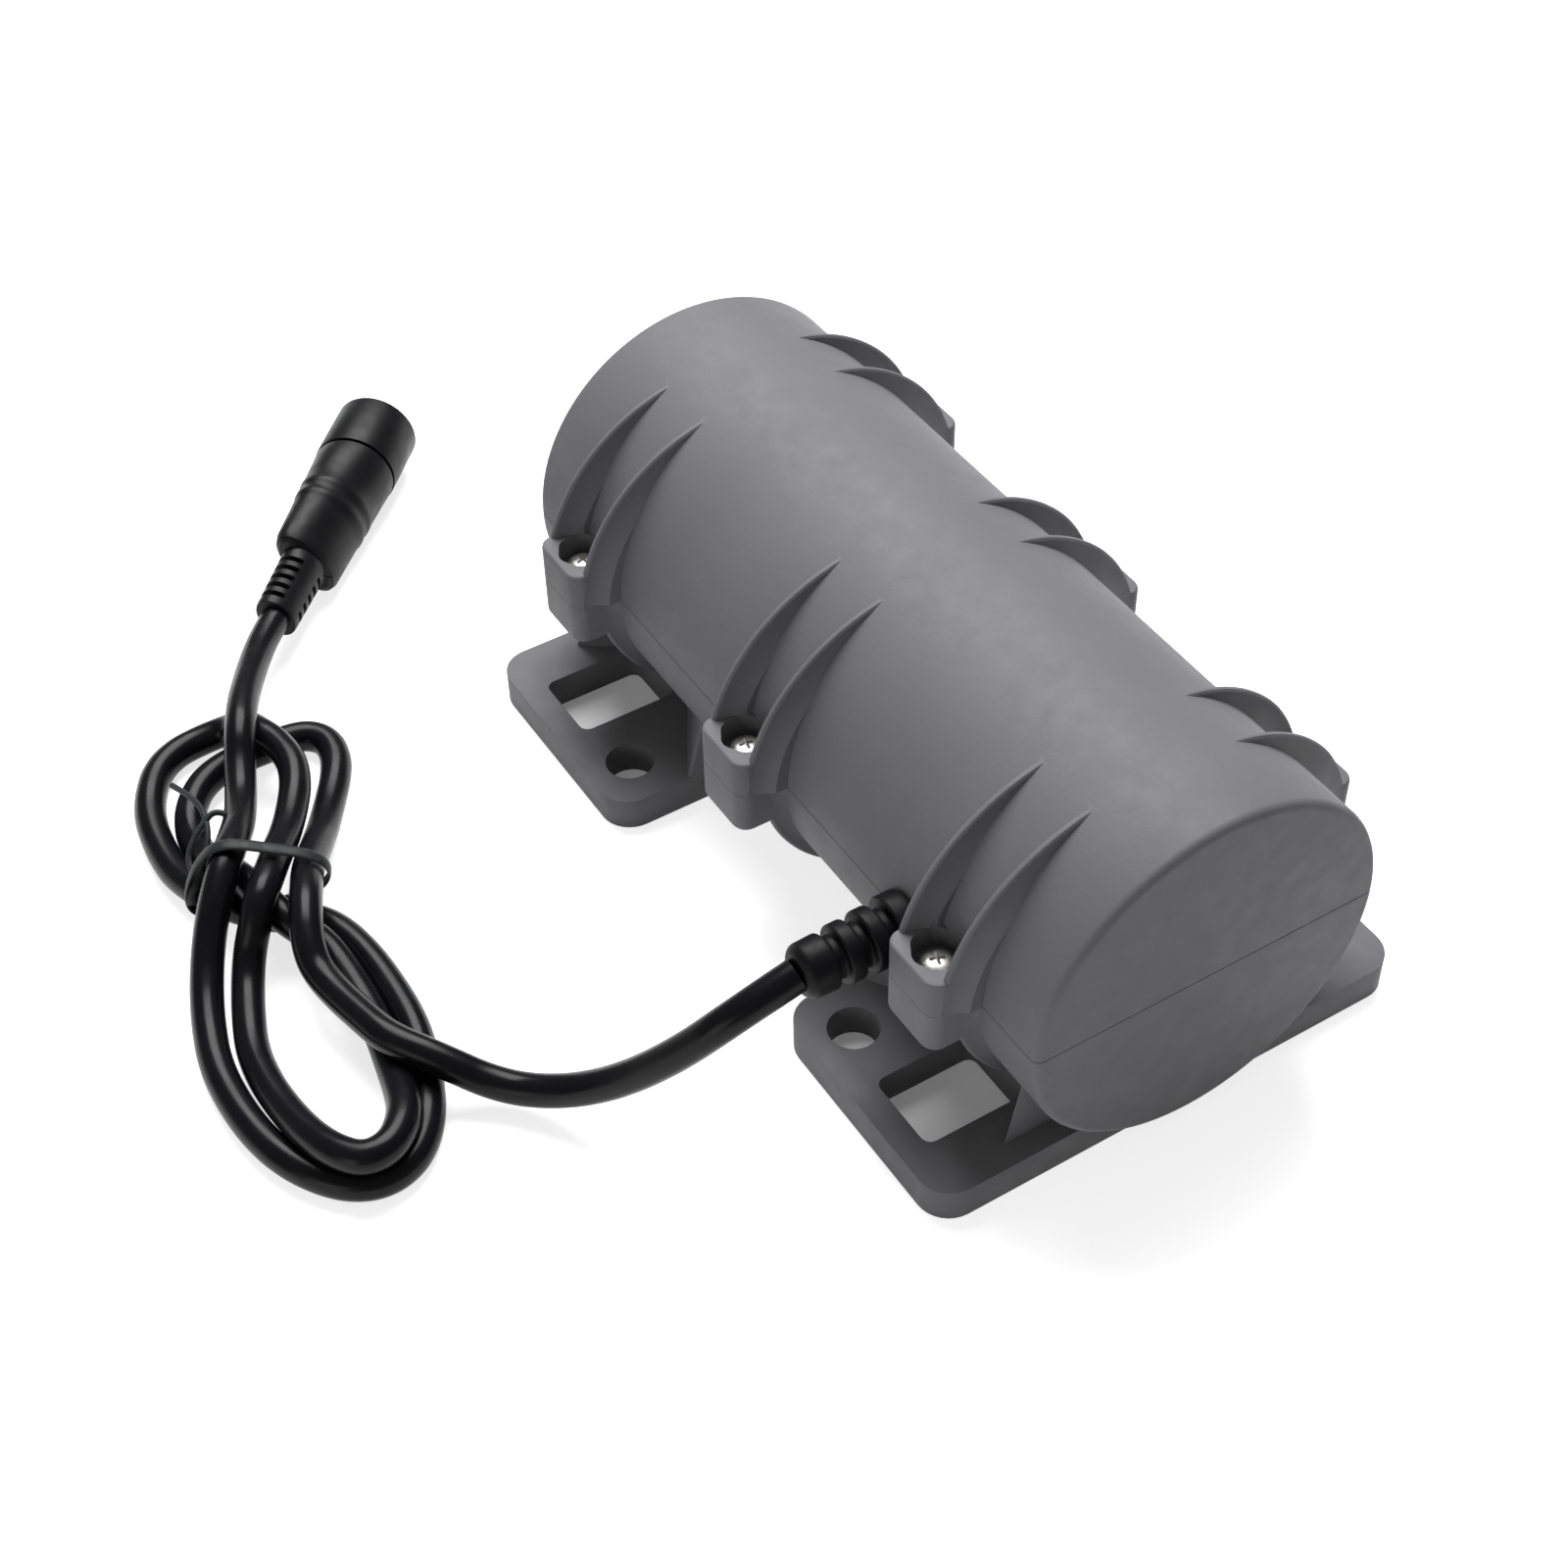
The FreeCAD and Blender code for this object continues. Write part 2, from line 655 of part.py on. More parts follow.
def weight_set_screws():
    screw = new_body("one_set_screw")
    round_bar = new_sketch(screw, "XY_Plane")
    circle(round_bar, "0", "0", "set_screw_radius")
    feature(screw, "Pad", round_bar, Length="set_screw_length")
    socket = new_sketch(screw, "XY_Plane", "set_screw_length")
    half, point = "set_screw_socket / 2", "set_screw_socket / sqrt(3)"
    outline(socket, [
        (half, f"-{point} / 2"), (half, f"{point} / 2"), ("0", point),
        (f"-{half}", f"{point} / 2"), (f"-{half}", f"-{point} / 2"), ("0", f"-{point}"),
    ])
    feature(screw, "Pocket", socket, Length="set_screw_length / 2")
    return group("weight_set_screws", screw, [
        (x, "0", "axis_height + shaft_radius", Rotation()) for end in SIDES for x in set_screw_places(end)
    ])


# ---------------------------------------------------------------- tubes along a path
def smooth_path(points, radii):
    """A wire of straight runs joined by tangent arcs of the given radii."""
    edges, start = [], points[0]
    for before, corner, after, radius in zip(points, points[1:], points[2:], radii):
        back, ahead = (before - corner).normalize(), (after - corner).normalize()
        half_turn = (math.pi - back.getAngle(ahead)) / 2
        reach = radius * math.tan(half_turn)
        middle = corner + (back + ahead).normalize() * (radius / math.cos(half_turn) - radius)
        enter, leave = corner + back * reach, corner + ahead * reach
        edges.append(Part.LineSegment(start, enter).toShape())
        edges.append(Part.Arc(enter, middle, leave).toShape())
        start = leave
    edges.append(Part.LineSegment(start, points[-1]).toShape())
    return Part.Wire(edges)


def tube(label, points, radii, radius):
    """A round solid along a path, as a node."""
    path = smooth_path(points, radii)
    start = points[0]
    ring = Part.Wire([Part.Circle(start, points[1] - start, radius).toShape()])
    solid = path.makePipeShell([ring], True, False)
    node = doc.addObject("Part::Feature", label)
    node.Label = label
    node.Shape = Part.Solid(solid) if solid.ShapeType == "Shell" else solid
    expected = math.pi * radius ** 2 * path.Length
    print(f"{label}: length {path.Length:.1f}, volume share {node.Shape.Volume / expected:.4f}")
    return node


def easy_radii(points):
    """The largest arc that each corner's two runs allow."""
    radii = []
    for before, corner, after in zip(points, points[1:], points[2:]):
        turn = math.pi - (before - corner).getAngle(after - corner)
        shorter = min((before - corner).Length, (after - corner).Length)
        radii.append(RUN_SHARE * shorter / math.tan(turn / 2))
    return radii


def cord_tube(label, points):
    radii = easy_radii(points)
    print(label, "radii", [round(radius, 1) for radius in radii])
    return tube(label, points, radii, value("cord_radius"))


def lead(label, side):
    """One inner lead, from the driver board round the front bell to the strain relief."""
    z = value(f"axis_height + {side} * lead_spread")
    start_x, turn_x = value("can_half_length - spigot_length"), value("lead_run_x")
    inner_y, outer_y = -value("lead_offset"), -value(LEAD_RUN_OFFSET)
    points = [Vector(start_x, inner_y, z), Vector(turn_x, inner_y, z),
              Vector(turn_x, outer_y, z), Vector(value("gland_x"), outer_y, z)]
    return tube(label, points, [value("lead_bend")] * 2, value("lead_radius"))


# ---------------------------------------------------------------- cord and in-line socket
def cord_gland():
    """A ribbed rubber strain relief clamped between the two shells."""
    wall = "(housing_radius + 2 * seat_gap)"
    inner = f"({GLAND_INNER_FACE} + gland_inner_flange)"
    corners = [(GLAND_INNER_FACE, "0"), (gland_tip(), "0"), (gland_tip(), "gland_tip_radius"),
               (f"{gland_tip()} - gland_tip_bevel", f"gland_ring_radius - {GLAND_RINGS} * gland_ring_taper")]
    neck = "gland_neck_radius - seat_gap"
    for ring in reversed(range(GLAND_RINGS + 1)):
        start = (f"{wall} + gland_flange_thickness + gland_groove_width"
                 f" + {ring} * (gland_ring_width + gland_groove_width)")
        end = f"{start} + gland_ring_width"
        radius = f"gland_ring_radius - {ring} * gland_ring_taper"
        if ring < GLAND_RINGS:
            corners += [(end, neck), (end, radius)]
        corners += [(start, radius), (start, neck)]
    flange_end = f"{wall} + gland_flange_thickness"
    corners += [(flange_end, neck), (flange_end, "gland_flange_radius"), (wall, "gland_flange_radius"),
                (wall, neck), (inner, neck), (inner, "gland_flange_radius"),
                (GLAND_INNER_FACE, "gland_flange_radius")]
    return turned("cord_gland", corners, x="gland_x", turn=Rotation(Vector(0, 0, 1), -90))


def gland_tip():
    """How far from the shaft axis the strain relief ends."""
    return (f"(housing_radius + 2 * seat_gap + gland_flange_thickness + gland_groove_width"
            f" + {GLAND_RINGS} * (gland_ring_width + gland_groove_width) + gland_tip_length)")


# The cord falls from the strain relief to the ground and curves round to the tied hank.
LEAD_ROUTE = [(30.5, -47.0, 24.0), (27.5, -53.5, 17.5), (22.5, -58.5, 9.5), (16.4, -63.2, 4.0),
              (10.4, -67.6, 2.6), (4.8, -73.1, 5.4), (-2.0, -77.2, 6.3)]
TAIL_ROUTE = [(-56.6, -70.6, 8.2), (-62.8, -67.6, 7.2), (-69.5, -63.4, 6.6), (-74.6, -59.6, 6.3)]
# The outer line of the tied loops; a third and fourth number are an arc's radius and its side.
HANK_LINE = [(-35.5, -87.2), (-48.7, -88.7, 17.5, -1), (-67, -75.5, 19, -1), (-57.5, -57.4, 6.5, -1),
             (-50.5, -57.4), (-31, -70.3), (-11, -69.6), (1, -71.1, 13.5, -1), (16.9, -84, 9.5, -1),
             (7.3, -94.9), (-6, -97.1), (-20, -94.6)]
TIE_CENTRE = (-32.2, -78.0)
TIE_TURN = -28.0
CONNECTOR_FOOT = (-77.5, -56.5)
CONNECTOR_TURN = 135.4


def power_cord_lead():
    start = Vector(value("gland_x"), -value(gland_tip()), value("axis_height"))
    return cord_tube("power_cord_lead", [start] + [Vector(*point) for point in LEAD_ROUTE])


def power_cord_tail():
    end = Vector(*CONNECTOR_FOOT, value("connector_radius"))
    return cord_tube("power_cord_tail", [Vector(*point) for point in TAIL_ROUTE] + [end])


def cord_hank():
    """The tied loops as one solid of their outer shape."""
    body = new_body("cord_hank")
    sketch = new_sketch(body, "XY_Plane", "tie_thickness")
    outline(sketch, [(str(x), str(y), *map(str, bend[:1]), *bend[1:]) for x, y, *bend in HANK_LINE])
    feature(body, "Pad", sketch, Length="hank_height - tie_thickness")
    return body


def twist_tie():
    """A flat band round the hank's narrow stretch."""
    body = new_body("twist_tie", str(TIE_CENTRE[0]), str(TIE_CENTRE[1]), "0",
                    Rotation(Vector(0, 0, 1), TIE_TURN))
    sketch = new_sketch(body, "YZ_Plane")
    inner, outer = "(tie_length / 2 - tie_thickness)", "tie_length / 2"
    outline(sketch, [(f"-{outer}", "0"), (outer, "0"), (outer, "hank_height + tie_thickness"),
                     (f"-{outer}", "hank_height + tie_thickness")])
    outline(sketch, [(f"-{inner}", "tie_thickness"), (inner, "tie_thickness"), (inner, "hank_height"),
                     (f"-{inner}", "hank_height")])
    feature(body, "Pad", sketch, Length="tie_width", SideType="Symmetric")
    return body


CONNECTOR_PLACE = dict(x=str(CONNECTOR_FOOT[0]), y=str(CONNECTOR_FOOT[1]), z="connector_radius",
                       turn=Rotation(Vector(0, 0, 1), CONNECTOR_TURN) * tilt(value("connector_roll")))
RELIEF_LENGTH = "(connector_length - connector_head - connector_body)"


def connector_body():
    """The moulded grip: round head with the socket's bore, a body pressed flat, and a slotted relief."""
    neck = "(connector_length - connector_head)"
    mouth = "(connector_length - socket_mouth)"
    body = turned("connector_body", [
        ("0", "0"), ("connector_length - socket_depth", "0"),
        ("connector_length - socket_depth", "socket_bore_radius"), (mouth, "socket_bore_radius"),
        ("connector_length", "socket_bore_radius + socket_flare"),
        ("connector_length", "connector_radius - connector_edge"),
        ("connector_length - connector_edge", "connector_radius"), (neck, "connector_radius"),
        (neck, "connector_radius - connector_groove"),
        (f"{neck} - connector_groove", "connector_radius - connector_groove"),
        (f"{neck} - connector_groove", "connector_radius - connector_step"),
        (f"{RELIEF_LENGTH} + connector_end_bevel", "connector_end_radius"),
        (RELIEF_LENGTH, "connector_end_radius - connector_end_bevel"),
        (RELIEF_LENGTH, "relief_root_radius"), ("0", "relief_tip_radius"),
    ], **CONNECTOR_PLACE)
    flats = new_sketch(body, "XZ_Plane")
    for side in SIDES:
        high, low = f"{side} * connector_radius", f"{side} * connector_flat_height"
        outline(flats, [
            (RELIEF_LENGTH, high), (RELIEF_LENGTH, low),
            (f"{RELIEF_LENGTH} + connector_flat_start", low), (neck, high),
        ])
        low = f"{side} * relief_flat_height"
        outline(flats, [("0", high), ("0", low), (RELIEF_LENGTH, low), (RELIEF_LENGTH, high)])
    feature(body, "Pocket", flats, Length="3 * connector_radius", SideType="Symmetric")
    slots = new_sketch(body, "XY_Plane")
    for index in range(1, RELIEF_SLOTS + 1):
        middle = f"{index} * {RELIEF_LENGTH} / {RELIEF_SLOTS + 1}"
        near, far = f"{middle} - relief_slot_width / 2", f"{middle} + relief_slot_width / 2"
        for side in SIDES:
            inner, outer = f"{side} * relief_spine", f"{side} * connector_radius"
            outline(slots, [(near, inner), (far, inner), (far, outer), (near, outer)])
    feature(body, "Pocket", slots, Length="3 * connector_radius", SideType="Symmetric")
    return body


def connector_sleeve():
    """The outer contact, a thin sprung tube inside the bore."""
    return turned("connector_sleeve", tube_corners(
        "connector_length - socket_depth + insulator_thickness", "connector_length - socket_mouth",
        "socket_bore_radius - sleeve_thickness", "socket_bore_radius"), **CONNECTOR_PLACE)


def connector_insulator():
    """The disc at the bottom of the bore that carries both contacts."""
    start = "connector_length - socket_depth"
    return turned("connector_insulator", tube_corners(
        start, f"{start} + insulator_thickness", "pin_radius", "socket_bore_radius"), **CONNECTOR_PLACE)


def connector_pin():
    """The centre contact."""
    tip = "connector_length - pin_recess"
    return turned("connector_pin", [
        ("connector_length - socket_depth", "0"), (tip, "0"), (tip, "pin_nose"),
        (f"{tip} - pin_radius", "pin_radius"), ("connector_length - socket_depth", "pin_radius"),
    ], **CONNECTOR_PLACE)


# ---------------------------------------------------------------- assembly
can_ends = ("-can_half_length", "can_half_length")
rotor_ends = ("-rotor_half_length", "rotor_half_length")
nodes = [
    upper_housing(), lower_housing(), housing_screws(),
    turned("motor_can", tube_corners(*can_ends, "can_radius - can_wall", "can_radius")),
    front_end_bell(), end_bell("rear_end_bell", -1),
    *bearing("front", 1), *bearing("rear", -1),
    stator_core(), stator_windings(), driver_board(), driver_parts(),
    turned("rotor_shaft", tube_corners(f"-{SHAFT_END}", SHAFT_END, "0", "shaft_radius")),
    turned("rotor_core", tube_corners(*rotor_ends, "shaft_radius", "rotor_core_radius")),
    turned("rotor_magnet", tube_corners(*rotor_ends, "rotor_core_radius", "magnet_radius")),
    weight("front_weight", 1), weight("rear_weight", -1), weight_set_screws(),
    lead("positive_lead", 1), lead("negative_lead", -1),
    cord_gland(), power_cord_lead(), cord_hank(), power_cord_tail(), twist_tie(),
    connector_body(), connector_sleeve(), connector_insulator(), connector_pin(),
]
doc.recompute()

for item in doc.Objects:
    if "Invalid" in item.State or "Error" in item.State:
        raise RuntimeError(f"{item.Label} failed: {item.State}")

os.makedirs("parts", exist_ok=True)
for node in nodes:
    shape = node.Shape
    if shape.isNull() or not shape.isValid() or not shape.Solids:
        raise RuntimeError(f"{node.Label} has no valid solid")
    shape.exportStep(f"parts/{node.Label}.step")
    box = shape.BoundBox
    print(f"{node.Label}: {len(shape.Solids)} solids, {shape.Volume:.0f} mm3,"
          f" x {box.XMin:.1f}..{box.XMax:.1f} y {box.YMin:.1f}..{box.YMax:.1f}"
          f" z {box.ZMin:.1f}..{box.ZMax:.1f}")
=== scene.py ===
# %% [markdown]
# # A vibration motor, dressed for its picture
# A small motor with two off-balance weights sits in a grey plastic case made of two half shells.
# The CAD model gives every part its size and place. This lesson adds the camera, the cord, the
# rounded edges and the finishes. Everything is in metres, and +Z is up.

import math

import bpy
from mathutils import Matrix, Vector


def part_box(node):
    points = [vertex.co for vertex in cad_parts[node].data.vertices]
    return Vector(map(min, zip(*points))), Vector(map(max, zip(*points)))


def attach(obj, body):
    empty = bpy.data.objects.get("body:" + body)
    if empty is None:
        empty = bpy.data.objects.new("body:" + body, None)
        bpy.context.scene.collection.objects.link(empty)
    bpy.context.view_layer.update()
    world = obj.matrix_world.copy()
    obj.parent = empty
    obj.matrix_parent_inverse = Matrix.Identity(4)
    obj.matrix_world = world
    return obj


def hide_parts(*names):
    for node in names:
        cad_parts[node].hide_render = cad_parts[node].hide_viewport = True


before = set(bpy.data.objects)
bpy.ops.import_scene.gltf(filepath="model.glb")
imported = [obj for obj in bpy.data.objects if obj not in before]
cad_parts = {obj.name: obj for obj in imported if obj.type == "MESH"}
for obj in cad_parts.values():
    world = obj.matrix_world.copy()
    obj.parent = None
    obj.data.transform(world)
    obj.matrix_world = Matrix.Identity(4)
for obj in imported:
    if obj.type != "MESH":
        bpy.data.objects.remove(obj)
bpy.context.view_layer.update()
MM = 0.001

# %% [markdown]
# ## Main sizes
# These sizes are shared by several steps below. They are the CAD model's own. The case is modelled
# round the origin, with the shaft along X, and is lifted to the shaft's height at the end.

# %% Main sizes, in millimetres
AXIS = 25.6  # height of the shaft above the table
CASE_RADIUS = 24
HALF_LENGTH = 56.5
LUG_PLACES = (-40.5, 0, 40.5)  # along the shaft
SCREW_OFFSET = 26  # from the shaft, sideways
SCREW_HEAD = 1.7
GLAND_X = 31.5
SIDES = (-1, 1)
print("lugs at", LUG_PLACES, "mm along the shaft")

# %% [markdown]
# ## Camera
# The camera comes first, because it decides which details matter. It stands high in front of the
# case's round end and looks down at about 45 degrees, through a short telephoto lens.

# %% Camera
camera_data = bpy.data.cameras.new("camera")
camera_data.lens = 59.527
camera_data.sensor_width = 36
camera = bpy.data.objects.new("camera", camera_data)
camera.location = (0.19254, -0.13784, 0.24683)
camera.rotation_euler = (math.radians(44.7277), math.radians(0.7924), math.radians(57.9147))
bpy.context.scene.collection.objects.link(camera)
bpy.context.scene.camera = camera
print("camera at", tuple(camera.location))

# %% [markdown]
# ## The cord's path
# The cord leaves a rubber strain relief, falls to the table, runs into a bundle of two loops that
# a twist tie holds at its narrow waist, and ends in a socket. A cord is one length of something
# flexible, so its whole path is one NURBS spline, whose control points are listed: the spline
# passes near them and rounds every corner by itself.

# %% Points of the cord, in millimetres
GLAND_TIP = (GLAND_X, -38.84, AXIS)
SOCKET_TIP = (-77.5, -56.5, 6.2)
CORD_POINTS = [
    GLAND_TIP, (31.2, -46.4, 23.4), (27.3, -52.2, 16.0), (21.9, -57.5, 8.8), (16.2, -62.5, 4.2),
    (10.6, -67.6, 2.9), (5.1, -73.0, 6.2), (0.0, -76.6, 7.0),
    (-5.0, -77.6, 6.6), (-10.6, -78.6, 6.2), (-15.0, -79.1, 6.4), (-17.9, -78.7, 7.9),
    (-21.3, -77.3, 9.2), (-25.3, -75.4, 9.0),
    (-29.9, -73.4, 7.4), (-34.9, -70.3, 5.0), (-39.5, -67.4, 3.0), (-44.2, -64.4, 2.1),
    (-48.2, -61.6, 2.1), (-51.6, -59.9, 2.1), (-55.1, -59.5, 2.1), (-57.5, -61.0, 2.1),
    (-58.4, -63.4, 2.1), (-58.4, -66.1, 2.1), (-58.5, -69.6, 2.1), (-58.3, -73.1, 2.1),
    (-57.1, -76.5, 2.1), (-54.8, -79.2, 2.1), (-51.4, -81.3, 2.1), (-47.4, -82.4, 2.1),
    (-43.4, -82.3, 2.6), (-39.3, -81.5, 4.4),
    (-32.6, -80.4, 6.8), (-26.8, -79.4, 6.3), (-23.6, -77.8, 5.2), (-20.5, -75.9, 4.0),
    (-16.3, -75.4, 3.2), (-10.4, -75.4, 2.9), (-4.7, -75.9, 2.7), (0.3, -76.9, 2.9),
    (5.6, -78.1, 4.2), (10.4, -79.6, 5.8), (14.0, -82.9, 6.3), (14.2, -86.6, 6.3),
    (10.9, -88.9, 5.9), (6.3, -90.2, 4.9), (0.3, -90.8, 3.7),
    (-5.5, -90.8, 2.8), (-11.1, -90.1, 2.1), (-16.1, -88.4, 2.1), (-21.2, -86.2, 2.5),
    (-23.9, -84.3, 4.8), (-24.9, -82.6, 7.8), (-26.5, -81.0, 9.9),
    (-29.4, -78.6, 9.6), (-33.5, -76.0, 8.2), (-37.9, -72.9, 6.6), (-42.1, -70.1, 6.1),
    (-45.9, -67.8, 6.3), (-49.9, -66.5, 6.6), (-54.2, -66.8, 6.5), (-56.9, -67.8, 6.6),
    (-60.9, -68.6, 5.4), (-63.9, -70.2, 2.8), (-64.7, -74.0, 2.1), (-64.2, -78.0, 2.1),
    (-62.0, -81.5, 2.1), (-57.9, -84.2, 2.1), (-53.5, -85.8, 2.1), (-48.2, -86.5, 2.1),
    (-42.9, -86.6, 2.4), (-37.8, -85.4, 3.2),
    (-33.0, -83.1, 3.6), (-29.8, -80.3, 3.2), (-27.9, -76.8, 2.4), (-25.4, -73.8, 2.1),
    (-21.4, -72.3, 2.1), (-16.4, -71.6, 2.1), (-10.6, -71.5, 2.1), (-4.9, -71.8, 2.1),
    (0.2, -72.9, 2.1), (5.3, -74.6, 2.1), (9.5, -76.6, 2.1), (13.1, -79.4, 2.1),
    (14.8, -82.7, 2.1), (14.8, -85.9, 2.1), (13.2, -88.8, 2.1), (10.4, -91.2, 2.1),
    (6.3, -93.4, 2.1), (1.3, -94.7, 2.1), (-4.8, -95.2, 2.1), (-11.3, -94.8, 2.1),
    (-17.4, -93.1, 2.3), (-22.9, -90.8, 3.6), (-27.4, -88.0, 6.2), (-30.9, -84.9, 9.2),
    (-34.2, -82.0, 10.6), (-37.9, -79.5, 9.6), (-42.2, -77.1, 7.8), (-47.5, -74.8, 6.8),
    (-51.9, -72.9, 7.6), (-55.6, -70.9, 9.8), (-61.4, -68.1, 9.2), (-69.0, -63.6, 7.2),
    (-74.6, -59.6, 6.3), SOCKET_TIP,
]
CORD_DIAMETER = 4.2 * MM
print("the cord's path has", len(CORD_POINTS), "points")


# %% [markdown]
# The order is set after the points are added. Order 3 gives a smooth line that stays close to its
# points, and the end points are reached exactly.

# %% Cord
def in_metres(points):
    """The same points in metres."""
    return [tuple(value * MM for value in point) for point in points]


def soft_line(name, points, diameter, steps):
    """A round, smooth line through space along given points, in metres."""
    data = bpy.data.curves.new(name, "CURVE")
    data.dimensions = "3D"
    spline = data.splines.new("NURBS")
    spline.points.add(len(points) - 1)
    for point, place in zip(spline.points, points):
        point.co = (*place, 1)
    spline.order_u = 3
    spline.use_endpoint_u = True
    spline.use_smooth = True
    data.resolution_u = steps
    data.bevel_depth = diameter / 2
    data.bevel_resolution = 6
    data.use_fill_caps = True
    line = bpy.data.objects.new(name, data)
    bpy.context.scene.collection.objects.link(line)
    return line


power_cord = soft_line("power_cord", in_metres(CORD_POINTS), CORD_DIAMETER, 12)
print("made", power_cord.name)

# %% [markdown]
# ## Finishes
# Every finish is a small network of nodes on Object coordinates, so that it keeps its scale in
# millimetres wherever the piece is. One helper starts a network. Others add a drift in tone, a
# drift in roughness, and a fine grain that only tilts the light.


# %% Helpers for finishes
def start_finish(name, base, rough, metallic=0.0):
    """A new material with its shader and its coordinates."""
    material = bpy.data.materials.new(name)
    material.use_nodes = True
    nodes, links = material.node_tree.nodes, material.node_tree.links
    shader = nodes["Principled BSDF"]
    shader.inputs["Base Color"].default_value = (*base, 1)
    shader.inputs["Roughness"].default_value = rough
    shader.inputs["Metallic"].default_value = metallic
    places = nodes.new("ShaderNodeTexCoord")
    return dict(material=material, nodes=nodes, links=links, shader=shader, places=places,
                base=base, rough=rough, normal=None)


def speckle(finish, size, detail, stretch=(1, 1, 1)):
    """Noise whose spots are about size across, in metres."""
    mapping = finish["nodes"].new("ShaderNodeMapping")
    mapping.inputs["Scale"].default_value = stretch
    noise = finish["nodes"].new("ShaderNodeTexNoise")
    noise.inputs["Scale"].default_value = 1 / size
    noise.inputs["Detail"].default_value = detail
    finish["links"].new(finish["places"].outputs["Object"], mapping.inputs["Vector"])
    finish["links"].new(mapping.outputs["Vector"], noise.inputs["Vector"])
    return noise.outputs["Fac"]


def drift_tone(finish, source, darker, lighter):
    """Lets the colour drift between two shares of the base colour."""
    ramp = finish["nodes"].new("ShaderNodeValToRGB")
    ramp.color_ramp.elements[0].position = 0.3
    ramp.color_ramp.elements[1].position = 0.7
    for element, share in zip(ramp.color_ramp.elements, (darker, lighter)):
        element.color = (*(channel * share for channel in finish["base"]), 1)
    finish["links"].new(source, ramp.inputs["Fac"])
    finish["links"].new(ramp.outputs["Color"], finish["shader"].inputs["Base Color"])


def drift_roughness(finish, source, spread):
    """Lets the roughness drift round its plain value."""
    limits = finish["nodes"].new("ShaderNodeMapRange")
    limits.inputs["From Min"].default_value = 0.3
    limits.inputs["From Max"].default_value = 0.7
    limits.inputs["To Min"].default_value = finish["rough"] - spread
    limits.inputs["To Max"].default_value = finish["rough"] + spread
    finish["links"].new(source, limits.inputs["Value"])
    finish["links"].new(limits.outputs["Result"], finish["shader"].inputs["Roughness"])


def add_grain(finish, source, height, strength):
    """Raises the surface by up to height where the source is bright, on top of earlier grain."""
    bump = finish["nodes"].new("ShaderNodeBump")
    bump.inputs["Distance"].default_value = height
    bump.inputs["Strength"].default_value = strength
    finish["links"].new(source, bump.inputs["Height"])
    if finish["normal"]:
        finish["links"].new(finish["normal"], bump.inputs["Normal"])
    finish["normal"] = bump.outputs["Normal"]
    finish["links"].new(finish["normal"], finish["shader"].inputs["Normal"])


print("finish helpers ready")

# %% [markdown]
# ### Moulded plastic of the case
# The shells are glass-filled nylon: a neutral mid grey, nearly matt, with a fine even texture from
# an eroded mould. Two sizes of grain do it, one of 1.6 mm and one of 0.35 mm on top of it, and a
# very slow drift in tone keeps the large smooth round from looking like paint.

# %% Moulded grey plastic
grey = start_finish("moulded_grey_plastic", (0.153, 0.152, 0.159), 0.6)
grey["shader"].inputs["Specular IOR Level"].default_value = 0.28
drift_tone(grey, speckle(grey, 22 * MM, 3), 0.95, 1.05)
drift_roughness(grey, speckle(grey, 3 * MM, 3), 0.05)
add_grain(grey, speckle(grey, 1.6 * MM, 2), 0.05 * MM, 0.6)
add_grain(grey, speckle(grey, 0.35 * MM, 2), 0.025 * MM, 0.8)
housing_plastic = grey["material"]
print("made", housing_plastic.name)

# %% [markdown]
# ### Cord jacket, rubber, grip and tie
# All four are near black. The jacket is smooth PVC with a soft gloss and a slow, faint waviness.
# The strain relief and the socket's grip are moulded, so their grain is finer and their gloss
# lower. The tie's jacket is thinner and greyer, and its tone drifts most.

# %% Black cord jacket, rubber, grip and tie
jacket = start_finish("black_cord_jacket", (0.005, 0.005, 0.006), 0.27)
jacket["shader"].inputs["Specular IOR Level"].default_value = 0.15
drift_tone(jacket, speckle(jacket, 8 * MM, 2), 0.85, 1.2)
drift_roughness(jacket, speckle(jacket, 3 * MM, 2), 0.04)
add_grain(jacket, speckle(jacket, 1.6 * MM, 2), 0.01 * MM, 0.3)
cord_jacket = jacket["material"]

rubber = start_finish("black_rubber", (0.004, 0.004, 0.005), 0.48)
rubber["shader"].inputs["Specular IOR Level"].default_value = 0.12
drift_tone(rubber, speckle(rubber, 5 * MM, 2), 0.85, 1.2)
drift_roughness(rubber, speckle(rubber, 1.5 * MM, 3), 0.07)
add_grain(rubber, speckle(rubber, 0.5 * MM, 2), 0.02 * MM, 0.6)
gland_rubber = rubber["material"]

grip = start_finish("black_grip_plastic", (0.005, 0.005, 0.006), 0.4)
grip["shader"].inputs["Specular IOR Level"].default_value = 0.16
drift_tone(grip, speckle(grip, 6 * MM, 2), 0.85, 1.2)
drift_roughness(grip, speckle(grip, 1.8 * MM, 3), 0.06)
add_grain(grip, speckle(grip, 0.45 * MM, 2), 0.015 * MM, 0.6)
connector_plastic = grip["material"]

paper = start_finish("black_tie_jacket", (0.016, 0.017, 0.018), 0.5)
paper["shader"].inputs["Specular IOR Level"].default_value = 0.25
drift_tone(paper, speckle(paper, 2 * MM, 3), 0.75, 1.3)
drift_roughness(paper, speckle(paper, 1 * MM, 3), 0.08)
add_grain(paper, speckle(paper, 0.4 * MM, 2), 0.03 * MM, 0.6)
tie_jacket = paper["material"]
print("made", cord_jacket.name, gland_rubber.name, connector_plastic.name, tie_jacket.name)


# %% [markdown]
# ### Metals
# A metal shows its making in its roughness: plating is smooth with faint mottling, turned parts
# have rings round their axis, and sheet has a rolled grain. The noise is stretched along the
# direction of the marks. Each line says the tone, the roughness and how wide the marks are.

